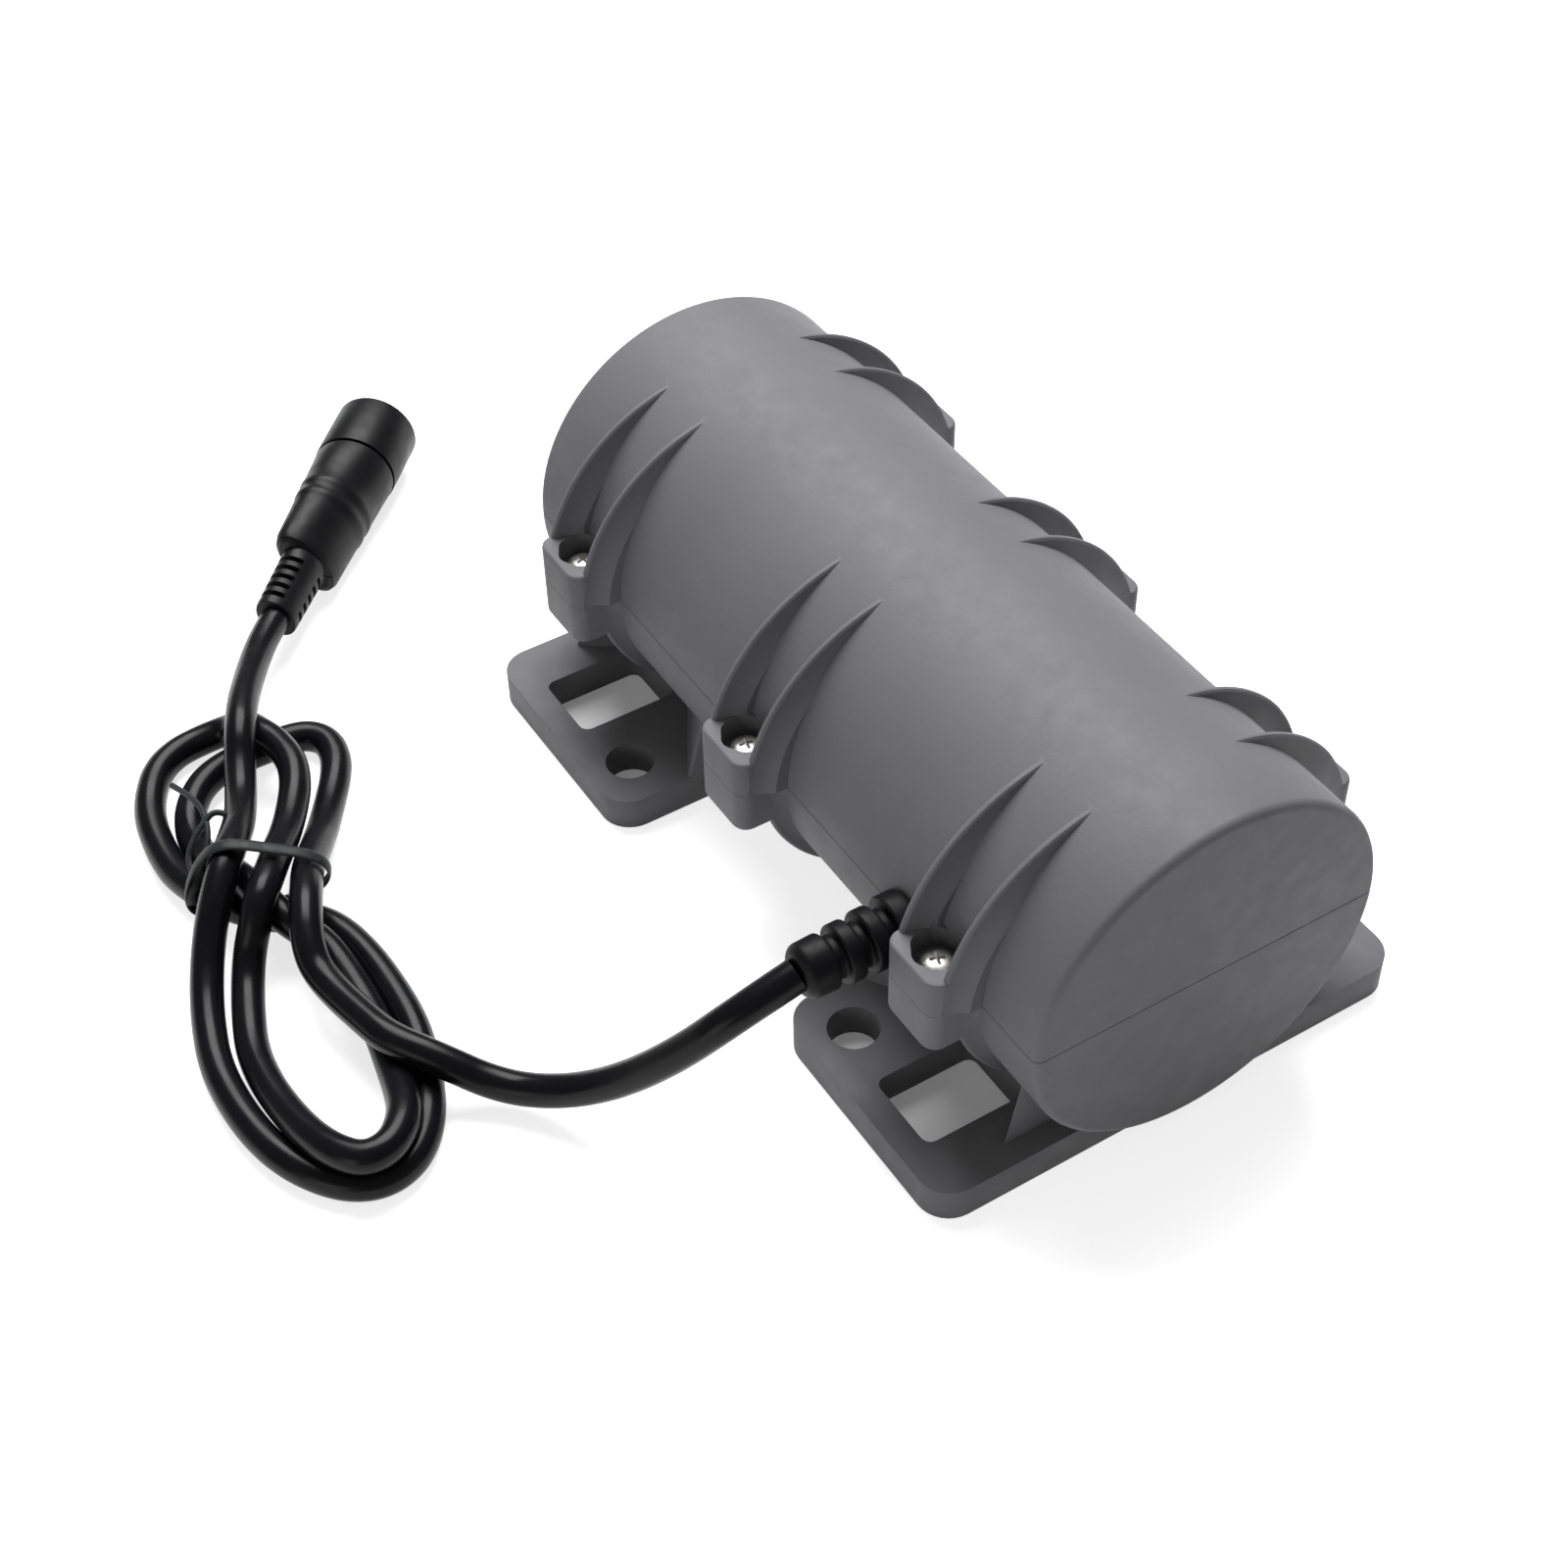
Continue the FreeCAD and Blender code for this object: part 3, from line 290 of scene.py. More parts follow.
# %% Metals
def metal(name, base, rough, spot, stretch=(1, 1, 1), height=0.004):
    """A metal with marks spot wide, long where stretch is low, and height deep, in millimetres."""
    finish = start_finish(name, base, rough, 1.0)
    source = speckle(finish, spot * MM, 3, stretch)
    drift_tone(finish, speckle(finish, 6 * MM, 3), 0.93, 1.05)
    drift_roughness(finish, source, min(0.08, rough * 0.4))
    add_grain(finish, source, height * MM, 0.6)
    return finish["material"]


screw_nickel = metal("bright_nickel_plate", (0.82, 0.81, 0.78), 0.38, 0.6)
can_steel = metal("zinc_plated_can", (0.55, 0.56, 0.58), 0.34, 0.7, (0.15, 1, 1))
bell_alloy = metal("cast_bell_alloy", (0.46, 0.47, 0.48), 0.46, 0.8, height=0.02)
bearing_steel = metal("ground_bearing_steel", (0.6, 0.6, 0.61), 0.16, 0.25, (4, 1, 1))
stator_steel = metal("stacked_stator_steel", (0.3, 0.3, 0.31), 0.42, 0.5, (1, 0.05, 0.05), 0.03)
copper_wire = metal("enamelled_copper", (0.62, 0.25, 0.1), 0.3, 0.4, (0.1, 1, 1), 0.05)
shaft_steel = metal("ground_shaft_steel", (0.58, 0.58, 0.6), 0.22, 0.3, (5, 1, 1))
magnet_dark = metal("dark_magnet", (0.09, 0.09, 0.1), 0.5, 0.5)
weight_steel = metal("turned_weight_steel", (0.4, 0.4, 0.41), 0.36, 0.4, (4, 0.4, 0.4), 0.012)
set_screw_black = metal("black_oxide_screw", (0.05, 0.05, 0.055), 0.42, 0.4)
contact_nickel = metal("nickel_contact", (0.66, 0.65, 0.62), 0.24, 0.5)
print("made 11 metals")


# %% [markdown]
# ### Small inner parts
# The board, its chips and the two leads sit inside the closed case. They show only when the case
# is taken apart, so plain but true finishes are enough: resin, matt epoxy and soft PVC.

# %% Board, chips, leads and insulator
def plain_finish(name, base, rough, spot, height):
    """A non-metal with a drift in tone and a light grain."""
    finish = start_finish(name, base, rough)
    drift_tone(finish, speckle(finish, 5 * spot * MM, 2), 0.88, 1.1)
    drift_roughness(finish, speckle(finish, 2 * spot * MM, 2), 0.05)
    add_grain(finish, speckle(finish, spot * MM, 2), height * MM, 0.6)
    return finish["material"]


board_green = plain_finish("green_board", (0.02, 0.12, 0.05), 0.35, 0.6, 0.02)
chip_black = plain_finish("black_epoxy", (0.02, 0.02, 0.022), 0.55, 0.3, 0.02)
wire_red = plain_finish("red_wire_jacket", (0.35, 0.02, 0.02), 0.4, 0.6, 0.01)
wire_black = plain_finish("black_wire_jacket", (0.02, 0.02, 0.02), 0.4, 0.6, 0.01)
insulator_black = plain_finish("black_insulator", (0.018, 0.018, 0.02), 0.45, 0.5, 0.01)
print("made 5 plain finishes")

# %% [markdown]
# ## Finishes for the CAD parts that stay
# The inner parts already have their right shape, so each CAD node only gets its finish.

# %% Dress the inner parts
NODE_FINISHES = {
    "motor_can": can_steel, "front_end_bell": bell_alloy, "rear_end_bell": bell_alloy,
    "front_bearing_outer": bearing_steel, "front_bearing_inner": bearing_steel,
    "front_bearing_balls": bearing_steel, "rear_bearing_outer": bearing_steel,
    "rear_bearing_inner": bearing_steel, "rear_bearing_balls": bearing_steel,
    "stator_core": stator_steel, "stator_windings": copper_wire, "driver_board": board_green,
    "driver_parts": chip_black, "rotor_shaft": shaft_steel, "rotor_core": stator_steel,
    "rotor_magnet": magnet_dark, "front_weight": weight_steel, "rear_weight": weight_steel,
    "weight_set_screws": set_screw_black, "positive_lead": wire_red, "negative_lead": wire_black,
    "connector_sleeve": contact_nickel, "connector_insulator": insulator_black,
    "connector_pin": contact_nickel,
}


def dress(piece, material):
    """Gives a whole piece one finish."""
    piece.data.materials.clear()
    piece.data.materials.append(material)


for node_name, material in NODE_FINISHES.items():
    dress(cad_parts[node_name], material)
print("dressed", len(NODE_FINISHES), "inner parts")

# %% [markdown]
# ## Working in edit mode
# The modelling below uses the same operators as the menus. An operator acts on whatever is
# selected, so each step first clears the selection, then picks its piece, its faces or its
# vertices by place.


# %% Helpers for modelling
def pick(*pieces):
    """Selects only these objects; the last one becomes active."""
    bpy.ops.object.select_all(action="DESELECT")
    for piece in pieces:
        piece.select_set(True)
        bpy.context.view_layer.objects.active = piece


def new_piece(name):
    """Names the primitive that was just added."""
    piece = bpy.context.active_object
    piece.name = piece.data.name = name
    return piece


def settle(piece):
    """Moves an object's place, turn and size into its mesh."""
    pick(piece)
    bpy.ops.object.transform_apply(location=True, rotation=True, scale=True)
    return piece


def select_vertices(piece, test):
    """Selects the vertices whose place, in millimetres, passes a test, and enters edit mode."""
    pick(piece)
    bpy.ops.object.mode_set(mode="EDIT")
    bpy.ops.mesh.select_mode(type="VERT")
    bpy.ops.mesh.select_all(action="DESELECT")
    bpy.ops.object.mode_set(mode="OBJECT")
    for vertex in piece.data.vertices:
        vertex.select = bool(test(vertex.co / MM))
    bpy.ops.object.mode_set(mode="EDIT")


def resize_vertices(piece, test, shares, centre=(0, 0, 0)):
    """Resizes the vertices that pass a test, about a centre in millimetres."""
    select_vertices(piece, test)
    bpy.ops.transform.resize(value=shares, center_override=[value * MM for value in centre])
    bpy.ops.object.mode_set(mode="OBJECT")


def shift_vertices(piece, test, shift):
    """Moves the vertices that pass a test, in millimetres."""
    select_vertices(piece, test)
    bpy.ops.transform.translate(value=[value * MM for value in shift])
    bpy.ops.object.mode_set(mode="OBJECT")


def apply_modifier(piece, kind, **settings):
    """Adds a modifier with these settings and applies it."""
    pick(piece)
    modifier = piece.modifiers.new(kind.lower(), kind)
    for name, setting in settings.items():
        setattr(modifier, name, setting)
    bpy.ops.object.modifier_apply(modifier=modifier.name)
    return piece


def round_edges(piece, width, angle, segments):
    """Rounds every edge sharper than an angle, as a mould or a deburring tool leaves it."""
    return apply_modifier(piece, "BEVEL", width=width * MM, segments=segments,
                          limit_method="ANGLE", angle_limit=math.radians(angle))


def smooth(piece, angle):
    """Shades a piece smooth, but keeps its sharp edges."""
    pick(piece)
    bpy.ops.object.shade_smooth_by_angle(angle=math.radians(angle))
    return piece


SAME_PLACE = 0.0005 * MM  # points nearer than this are one point


def drawn_line(name, places):
    """A chain of edges through places in millimetres, pulled out of one point.

    It leaves the piece in edit mode, with everything selected."""
    bpy.ops.object.select_all(action="DESELECT")
    bpy.ops.mesh.primitive_plane_add(size=MM)
    piece = new_piece(name)
    bpy.ops.object.mode_set(mode="EDIT")
    bpy.ops.mesh.select_mode(type="VERT")
    bpy.ops.mesh.merge(type="CENTER")
    here = Vector((0, 0, 0))
    for index, place in enumerate(places):
        there = Vector(place) * MM
        if index == 0:
            bpy.ops.transform.translate(value=there - here)
        else:
            bpy.ops.mesh.extrude_region_move(TRANSFORM_OT_translate={"value": there - here})
        here = there
    bpy.ops.mesh.select_all(action="SELECT")
    return piece


def turned_piece(name, profile, steps):
    """A piece turned on a lathe: (along X, radius) points in millimetres, spun about X."""
    piece = drawn_line(name, [(along, radius, 0) for along, radius in profile])
    bpy.ops.mesh.spin(steps=steps, angle=math.tau, center=(0, 0, 0), axis=(1, 0, 0))
    bpy.ops.mesh.select_all(action="SELECT")
    bpy.ops.mesh.remove_doubles(threshold=SAME_PLACE)
    bpy.ops.mesh.normals_make_consistent(inside=False)
    bpy.ops.object.mode_set(mode="OBJECT")
    return piece


print("modelling helpers ready")

# %% [markdown]
# ## Blocks with soft edges
# A moulded case has no truly sharp edge, and that is where the light catches. Rounding everything
# at the end would let one short edge hold back all the others, so each block is rounded first,
# while its shape is simple, and only then joined to the case.


# %% Helpers for blocks
def cube(name, place, size, turn=0):
    """A cube primitive, stretched to a size in millimetres and turned about X in degrees."""
    bpy.ops.object.select_all(action="DESELECT")
    bpy.ops.mesh.primitive_cube_add(size=1)
    piece = new_piece(name)
    piece.scale = [value * MM for value in size]
    piece.rotation_euler = (math.radians(turn), 0, 0)
    piece.location = [value * MM for value in place]
    return settle(piece)


def block(name, low, high):
    """A block from one corner to the other, in millimetres."""
    return cube(name, [(a + b) / 2 for a, b in zip(low, high)],
                [b - a for a, b in zip(low, high)])


def peg(name, place, radius, length, sides, turn=0):
    """A cylinder primitive in millimetres, turned about X in degrees."""
    bpy.ops.object.select_all(action="DESELECT")
    bpy.ops.mesh.primitive_cylinder_add(vertices=sides, radius=radius * MM, depth=length * MM,
                                        location=[value * MM for value in place],
                                        rotation=(math.radians(turn), 0, 0))
    return settle(new_piece(name))


def bevel_edges(piece, test, radius, segments):
    """Rounds the edges whose two ends, in millimetres, pass a test."""
    pick(piece)
    bpy.ops.object.mode_set(mode="EDIT")
    bpy.ops.mesh.select_mode(type="EDGE")
    bpy.ops.mesh.select_all(action="DESELECT")
    bpy.ops.object.mode_set(mode="OBJECT")
    places = [vertex.co / MM for vertex in piece.data.vertices]
    for edge in piece.data.edges:
        edge.select = bool(test(*(places[index] for index in edge.vertices)))
    bpy.ops.object.mode_set(mode="EDIT")
    bpy.ops.mesh.bevel(offset=radius * MM, segments=segments, affect="EDGES")
    bpy.ops.object.mode_set(mode="OBJECT")
    return piece


def upright(a, b):
    """Whether an edge stands upright."""
    return abs(a.x - b.x) < 0.01 and abs(a.y - b.y) < 0.01


def keep_side(piece, point, normal):
    """Cuts a piece by a plane, closes the cut, and keeps the part that the normal points to."""
    pick(piece)
    bpy.ops.object.mode_set(mode="EDIT")
    bpy.ops.mesh.select_all(action="SELECT")
    bpy.ops.mesh.bisect(plane_co=[value * MM for value in point], plane_no=normal,
                        use_fill=True, clear_inner=True)
    bpy.ops.object.mode_set(mode="OBJECT")
    return piece


def copy_to(piece, shift=(0, 0, 0), flip=(1, 1, 1)):
    """A copy with its own mesh, moved in millimetres and mirrored where flip is -1."""
    pick(piece)
    bpy.ops.object.duplicate()
    copy = bpy.context.active_object
    copy.location = [value * MM for value in shift]
    copy.scale = flip
    settle(copy)
    if flip[0] * flip[1] * flip[2] < 0:
        bpy.ops.object.mode_set(mode="EDIT")
        bpy.ops.mesh.select_all(action="SELECT")
        bpy.ops.mesh.normals_make_consistent(inside=False)
        bpy.ops.object.mode_set(mode="OBJECT")
    return copy


def combine(base, pieces, operation):
    """Joins pieces to the base, or cuts them out of it, in one step, and removes them."""
    group = bpy.data.collections.new("tools")
    for piece in pieces:
        group.objects.link(piece)
    apply_modifier(base, "BOOLEAN", operation=operation, solver="MANIFOLD",
                   operand_type="COLLECTION", collection=group)
    bpy.data.collections.remove(group)
    for piece in pieces:
        bpy.data.objects.remove(piece)
    return base


print("block helpers ready")

# %% [markdown]
# ## The round of the case
# Both shells share one closed cylinder with softly rounded end rims. It is turned once, and each
# shell keeps one half of it: the plane of the cut is the seam between the shells. A few rings of
# points near each lug keep the shading even there once the webs are joined on.

# %% Half cylinders
RIM_ROUND = 1.1
RIM = [(HALF_LENGTH - RIM_ROUND + RIM_ROUND * math.sin(math.radians(turn)),
        CASE_RADIUS - RIM_ROUND + RIM_ROUND * math.cos(math.radians(turn)))
       for turn in (0, 18, 36, 54, 72, 90)]
drum_profile = [(-HALF_LENGTH, 0)] + [(-along, radius) for along, radius in reversed(RIM)]
drum_profile += [(lug_x + step, CASE_RADIUS) for lug_x in LUG_PLACES
                 for step in (-7, -5.6, -3, 3, 5.6, 7)]
drum_profile += RIM + [(HALF_LENGTH, 0)]
upper_shell = turned_piece("upper_shell", drum_profile, 160)
lower_shell = copy_to(upper_shell)
lower_shell.name = lower_shell.data.name = "lower_shell"
keep_side(upper_shell, (0, 0, 0), (0, 0, 1))
keep_side(lower_shell, (0, 0, 0), (0, 0, -1))
for half in (upper_shell, lower_shell):
    bevel_edges(half, lambda a, b: abs(a.z) < 0.01 and abs(b.z) < 0.01, 0.1, 1)
print("half drums:", len(upper_shell.data.polygons), "faces each")

# %% [markdown]
# ## Lugs
# Three screw lugs stand on each side of the seam. Their outer corners are rounded widely, and the
# edges away from the seam a little. Each shell's lugs stop just short of the seam.


# %% Lugs
LUG_HALF, LUG_ROOT, LUG_REACH = 4.9, 21.5, 30.1
LUG_RISE, LUG_DROP = 5.2, 6.2
SEAM = 0.03  # half the gap between the shells' lugs


def lug(name, low, high):
    """A lug block on the +Y side, from low to high, whose outer corners are rounded."""
    piece = block(name, (-LUG_HALF, LUG_ROOT, low), (LUG_HALF, LUG_REACH, high))
    bevel_edges(piece, lambda a, b: upright(a, b) and a.y > 29, 2.0, 6)
    return piece


upper_lug = lug("upper_lug", SEAM, LUG_RISE)
bevel_edges(upper_lug, lambda a, b: a.z > 5 and b.z > 5 and max(a.y, b.y) > 22, 0.45, 3)
lower_lug = lug("lower_lug", -LUG_DROP, -SEAM)
bevel_edges(lower_lug, lambda a, b: a.z < -6 and b.z < -6 and max(a.y, b.y) > 22, 0.9, 4)
print("lugs:", len(upper_lug.data.polygons), "and", len(lower_lug.data.polygons), "faces")

# %% [markdown]
# ## Webs
# Two thin curved webs carry each lug. A web is part of a disc whose centre lies a little off the
# shaft, so that it runs out of the round and grows towards the lug. Its rim is rounded and its
# root is wider, like a fillet. One web for each shell is copied to all its places.


# %% Webs
def web(name, shift, sink):
    """Half a disc on the +Y side, moved out by shift and down by sink, in millimetres."""
    profile = [(-1.7, 0), (-1.7, 20.6), (-1.1, 21.4), (-0.7, 22.3), (-0.52, 23.2), (-0.46, 23.7),
               (-0.25, 23.94), (0, 24), (0.25, 23.94), (0.46, 23.7), (0.52, 23.2), (0.7, 22.3),
               (1.1, 21.4), (1.7, 20.6), (1.7, 0)]
    piece = turned_piece(name, profile, 160)
    piece.location = (0, shift * MM, -sink * MM)
    settle(piece)
    keep_side(piece, (0, shift, 0), (0, 1, 0))
    return piece


upper_web = keep_side(web("upper_web", 5.2, 1.6), (0, 0, SEAM), (0, 0, 1))
lower_web = keep_side(web("lower_web", 2.9, -1.5), (0, 0, -SEAM), (0, 0, -1))
WEB_OFFSET = 4.38  # from the middle of the lug, along the shaft
for half, lug_piece, web_piece in ((upper_shell, upper_lug, upper_web),
                                   (lower_shell, lower_lug, lower_web)):
    added = []
    for x in LUG_PLACES:
        for side in SIDES:
            added.append(copy_to(lug_piece, (x, 0, 0), (1, side, 1)))
            for shift in (-WEB_OFFSET, WEB_OFFSET):
                added.append(copy_to(web_piece, (x + shift, 0, 0), (1, side, 1)))
    bpy.data.objects.remove(lug_piece)
    bpy.data.objects.remove(web_piece)
    combine(half, added, "UNION")
    print(half.name, "with lugs and webs:", len(half.data.polygons), "faces")

# %% [markdown]
# ## Feet
# Each foot is a plate with large corner rounds, two bolt holes and two slots. A block and a flared
# buttress carry the round of the case on it, and a thin leaning fin stands at each outer corner
# of the block. The plate is rounded, cut and then rounded once more, so that the rims of its holes
# are soft too.

# %% Feet
FOOT_START, FOOT_END, HALF_BASE, FOOT_THICKNESS = 20, 54, 34.2, 4.8
BOLT_X, BOLT_Y, BOLT_RADIUS = 27.1, 28.2, 3.25
SLOT_START, SLOT_END, SLOT_REACH = 35.3, 46.3, 30.6
PEDESTAL_END, HALF_PEDESTAL = 50, 16.5
GUSSET_END, HALF_GUSSET = 32.3, 23.8
plate = block("foot_plate", (FOOT_START, -HALF_BASE, -AXIS),
              (FOOT_END, HALF_BASE, FOOT_THICKNESS - AXIS))
bevel_edges(plate, upright, 4.2, 8)
cuts = []
for side in SIDES:
    cuts.append(peg("bolt_hole", (BOLT_X, side * BOLT_Y, -23), BOLT_RADIUS, 20, 64))
    near, far = sorted((side * HALF_PEDESTAL, side * SLOT_REACH))
    slot = block("slot", (SLOT_START, near, -30), (SLOT_END, far, -15))
    cuts.append(bevel_edges(slot, upright, 1.3, 5))
combine(plate, cuts, "DIFFERENCE")
round_edges(plate, 0.45, 40, 3)

pedestal = block("pedestal", (FOOT_START, -HALF_PEDESTAL, 1 - AXIS),
                 (PEDESTAL_END, HALF_PEDESTAL, 12 - AXIS))
bevel_edges(pedestal, lambda a, b: upright(a, b) and a.x > PEDESTAL_END - 1, 1.2, 4)

gusset = block("gusset", (FOOT_START, -HALF_GUSSET, 4 - AXIS),
               (GUSSET_END, HALF_GUSSET, 16.6 - AXIS))
resize_vertices(gusset, lambda place: place.x < 21 and place.z > -10, (1, 20.4 / HALF_GUSSET, 1))
resize_vertices(gusset, lambda place: place.x > 32, (1, HALF_PEDESTAL / HALF_GUSSET, 1))
shift_vertices(gusset, lambda place: place.x > 32 and place.z > -10, (0, 0, -4.6))
bevel_edges(gusset, lambda a, b: abs(a.y) > 16 and abs(b.y) > 16 and a.y * b.y > 0
            and abs(a.z - b.z) > 1 and a.x < 21 and b.x < 21, 0.8, 4)

fin = block("outer_fin", (46.5, 14, 4 - AXIS), (51, 23.4, 17 - AXIS))
shift_vertices(fin, lambda place: place.x < 47 and place.y > 22, (0, -6.6, 0))
shift_vertices(fin, lambda place: place.y > 16 and place.z > -10, (0, -2.6, 0))
bevel_edges(fin, lambda a, b: min(a.x, b.x) > 50.9 and min(a.y, b.y) > 20, 0.5, 3)

feet = []
for end in SIDES:
    for piece in (plate, pedestal, gusset):
        feet.append(copy_to(piece, (0, 0, 0), (end, 1, 1)))
    for side in SIDES:
        feet.append(copy_to(fin, (0, 0, 0), (end, side, 1)))
for piece in (plate, pedestal, gusset, fin):
    bpy.data.objects.remove(piece)
combine(lower_shell, feet, "UNION")
print("lower shell with feet:", len(lower_shell.data.polygons), "faces")

# %% [markdown]
# ## Hollows
# The cavity for the motor and its weights is a turned piece too, narrower where two rings cradle
# the motor's can. Hexagonal pockets drop to the screw heads, and narrow holes take the screws. The
# strain relief sits in a round hole that both shells share.

# %% Hollows
SEAT_RADIUS, SEAT_START, SEAT_END = 18.02, 15.5, 18.5
CAVITY_RADIUS, CAVITY_END = 21, 53.5
cavity_half = [(SEAT_START, CAVITY_RADIUS), (SEAT_START, SEAT_RADIUS), (SEAT_END, SEAT_RADIUS),
               (SEAT_END, CAVITY_RADIUS), (CAVITY_END, CAVITY_RADIUS), (CAVITY_END, 0)]
cavity = turned_piece("cavity", [(-along, radius) for along, radius in reversed(cavity_half)]
                      + cavity_half, 128)
GLAND_HOLE_RADIUS, SCREW_HOLE_RADIUS, POCKET_RADIUS = 3.0, 1.3, 3.5
gland_hole = peg("gland_hole", (GLAND_X, -23, 0), GLAND_HOLE_RADIUS, 8, 64, turn=90)
upper_cuts = [copy_to(cavity), copy_to(gland_hole)]
lower_cuts = [cavity, gland_hole]
for x in LUG_PLACES:
    for side in SIDES:
        pocket = peg("screw_pocket", (x, side * SCREW_OFFSET, 14), POCKET_RADIUS, 24, 6)
        upper_cuts.append(bevel_edges(pocket, upright, 0.9, 4))
        screw_hole = peg("screw_hole", (x, side * SCREW_OFFSET, 0), SCREW_HOLE_RADIUS, 9.3, 32)
        upper_cuts.append(screw_hole)
        lower_cuts.append(copy_to(screw_hole))
combine(upper_shell, upper_cuts, "DIFFERENCE")
combine(lower_shell, lower_cuts, "DIFFERENCE")
for shell, node_name in ((upper_shell, "upper_housing"), (lower_shell, "lower_housing")):
    shell.location = (0, 0, AXIS * MM)
    settle(shell)
    smooth(shell, 28)
    dress(shell, housing_plastic)
    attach(shell, "housing")
    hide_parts(node_name)
    print(shell.name, len(shell.data.polygons), "faces")

# %% [markdown]
# ## Screws
# Six plated pan-head screws with a cross recess hold the shells together. One is modelled at the
# origin: a turned head and shank, whose recess is cut by two crossed wedges. The other five are
# copies, each with its own mesh, and each is turned a little, as screws stop where they stop.

# %% Screws
screw = turned_piece("case_screw", [
    (-6.6, 0), (-6.6, 1.25), (0, 1.25), (0, 2.0), (0.15, 2.15), (0.7, 2.15), (1.2, 1.85),
    (1.55, 1.2), (SCREW_HEAD, 0)], 48)
round_edges(screw, 0.12, 25, 2)
wedges = [cube("recess_wedge", (1.5, 0, 0), (1.9, 0.55, 2.7), turn) for turn in (0, 90)]
for wedge in wedges:
    resize_vertices(wedge, lambda place: place.x < 1, (1, 0.35, 0.35), (0.55, 0, 0))
for wedge in wedges:
    apply_modifier(screw, "BOOLEAN", operation="DIFFERENCE", solver="EXACT", object=wedge)
    bpy.data.objects.remove(wedge)
screw.rotation_euler = (0, math.radians(-90), 0)
settle(screw)
smooth(screw, 30)
dress(screw, screw_nickel)

head_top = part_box("housing_screws")[1].z
SCREW_PLACES = [(x, side * SCREW_OFFSET) for x in LUG_PLACES for side in SIDES]
SCREW_TURNS = (12, 55, 80, 33, 68, 21)  # degrees, one for each screw
case_screws = []
for (x, y), turn in zip(SCREW_PLACES, SCREW_TURNS):
    pick(screw)
    bpy.ops.object.duplicate()
    copy = new_piece("case_screw_copy")
    copy.rotation_euler = (0, 0, math.radians(turn))
    copy.location = (x * MM, y * MM, head_top - SCREW_HEAD * MM)
    case_screws.append(settle(copy))
bpy.data.objects.remove(screw)
pick(*case_screws)
bpy.ops.object.join()
case_screws = new_piece("case_screws")
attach(case_screws, "housing")
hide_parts("housing_screws")
print("screws: head tops at", round(head_top / MM, 2), "mm")

# %% [markdown]
# ## Strain relief
# The rubber part that guards the cord has a flange inside the case and one outside, two soft rings
# and a tapered nose. It is turned about X with square corners, which a bevel then rounds, and
# afterwards it is swung round to point along -Y.

# %% Strain relief
gland = turned_piece("strain_relief", [
    (19.6, 0), (19.6, 4.2), (20.5, 4.2), (20.5, 2.98), (24.04, 2.98), (24.04, 4.2), (26.74, 4.2),
    (26.74, 2.9), (28.04, 2.9), (28.04, 3.9), (30.14, 3.9), (30.14, 2.8), (31.44, 2.8),
    (31.44, 3.7), (33.54, 3.7), (33.54, 2.7), (34.84, 2.7), (34.84, 3.5), (38.04, 3.4),
    (38.84, 2.6), (38.84, 0)], 96)
round_edges(gland, 0.42, 30, 4)
gland.rotation_euler = (0, 0, math.radians(-90))
gland.location = (GLAND_X * MM, 0, AXIS * MM)
settle(gland)
smooth(gland, 40)
dress(gland, gland_rubber)
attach(gland, "housing")
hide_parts("cord_gland")
print("strain relief:", len(gland.data.polygons), "faces")

# %% [markdown]
# ## Socket on the cord's end
# The grip is one moulding: a round head with the bore for the plug, a body that is pressed flatter
# towards the cord, and a slotted tail that can bend. It is turned first, from the tail to the
# head. Then the rings of points behind the head are squeezed in Z, more and more towards the tail,
# and small blocks cut the tail's slots from both sides, leaving a spine between them.

# %% Socket grip
GRIP_PROFILE = [
    (11.5, 3.6), (11.5, 4.6), (12.0, 5.4), (13.0, 5.75), (16, 5.82), (20, 5.9), (21.4, 5.93),
    (21.7, 6.08), (22.6, 6.09), (22.9, 5.96), (24.0, 5.97), (24.3, 6.11), (25.2, 6.12),
    (25.5, 6.0), (28, 6.04), (31, 6.07)]
socket = turned_piece("socket_grip", [
    (0, 0), (0, 3.2), (0.4, 3.3), (2, 3.35), (4, 3.4), (6, 3.45), (8, 3.5), (10, 3.55)]
    + GRIP_PROFILE + [
    (33.1, 6.1), (33.1, 5.7), (33.6, 5.7), (33.6, 6.2), (43.5, 6.2),
    (44, 5.7), (44, 3.75), (43, 3.15), (34, 3.15), (34, 0)], 96)
for along in sorted({along for along, radius in GRIP_PROFILE}):
    share = 0.57 + 0.36 * (max(0, along - 13) / 18) ** 1.25
    resize_vertices(socket, lambda place: abs(place.x - along) < 0.01 and place.yz.length > 4.5,
                    (1, 1, share))
resize_vertices(socket, lambda place: place.x < 11.6 and place.yz.length < 3.7, (1, 1, 0.8))
round_edges(socket, 0.3, 32, 3)
SLOT_PITCH, SLOT_WIDTH, SLOT_COUNT = 1.83, 0.95, 5
cutters = []
for index in range(1, SLOT_COUNT + 1):
    for side in SIDES:
        cutter = cube("slot_cutter", (index * SLOT_PITCH, side * 3.4, 0), (SLOT_WIDTH, 3.8, 9))
        cutters.append(round_edges(cutter, 0.3, 30, 2))
pick(*cutters)
bpy.ops.object.join()
slot_cutter = new_piece("slot_cutter")
apply_modifier(socket, "BOOLEAN", operation="DIFFERENCE", solver="EXACT", object=slot_cutter)
bpy.data.objects.remove(slot_cutter)
SOCKET_ROLL, SOCKET_HEADING = 56, 135.4
socket.rotation_euler = (math.radians(SOCKET_ROLL), 0, math.radians(SOCKET_HEADING))
socket.location = in_metres([SOCKET_TIP])[0]
settle(socket)
smooth(socket, 35)
dress(socket, connector_plastic)
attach(socket, "housing")
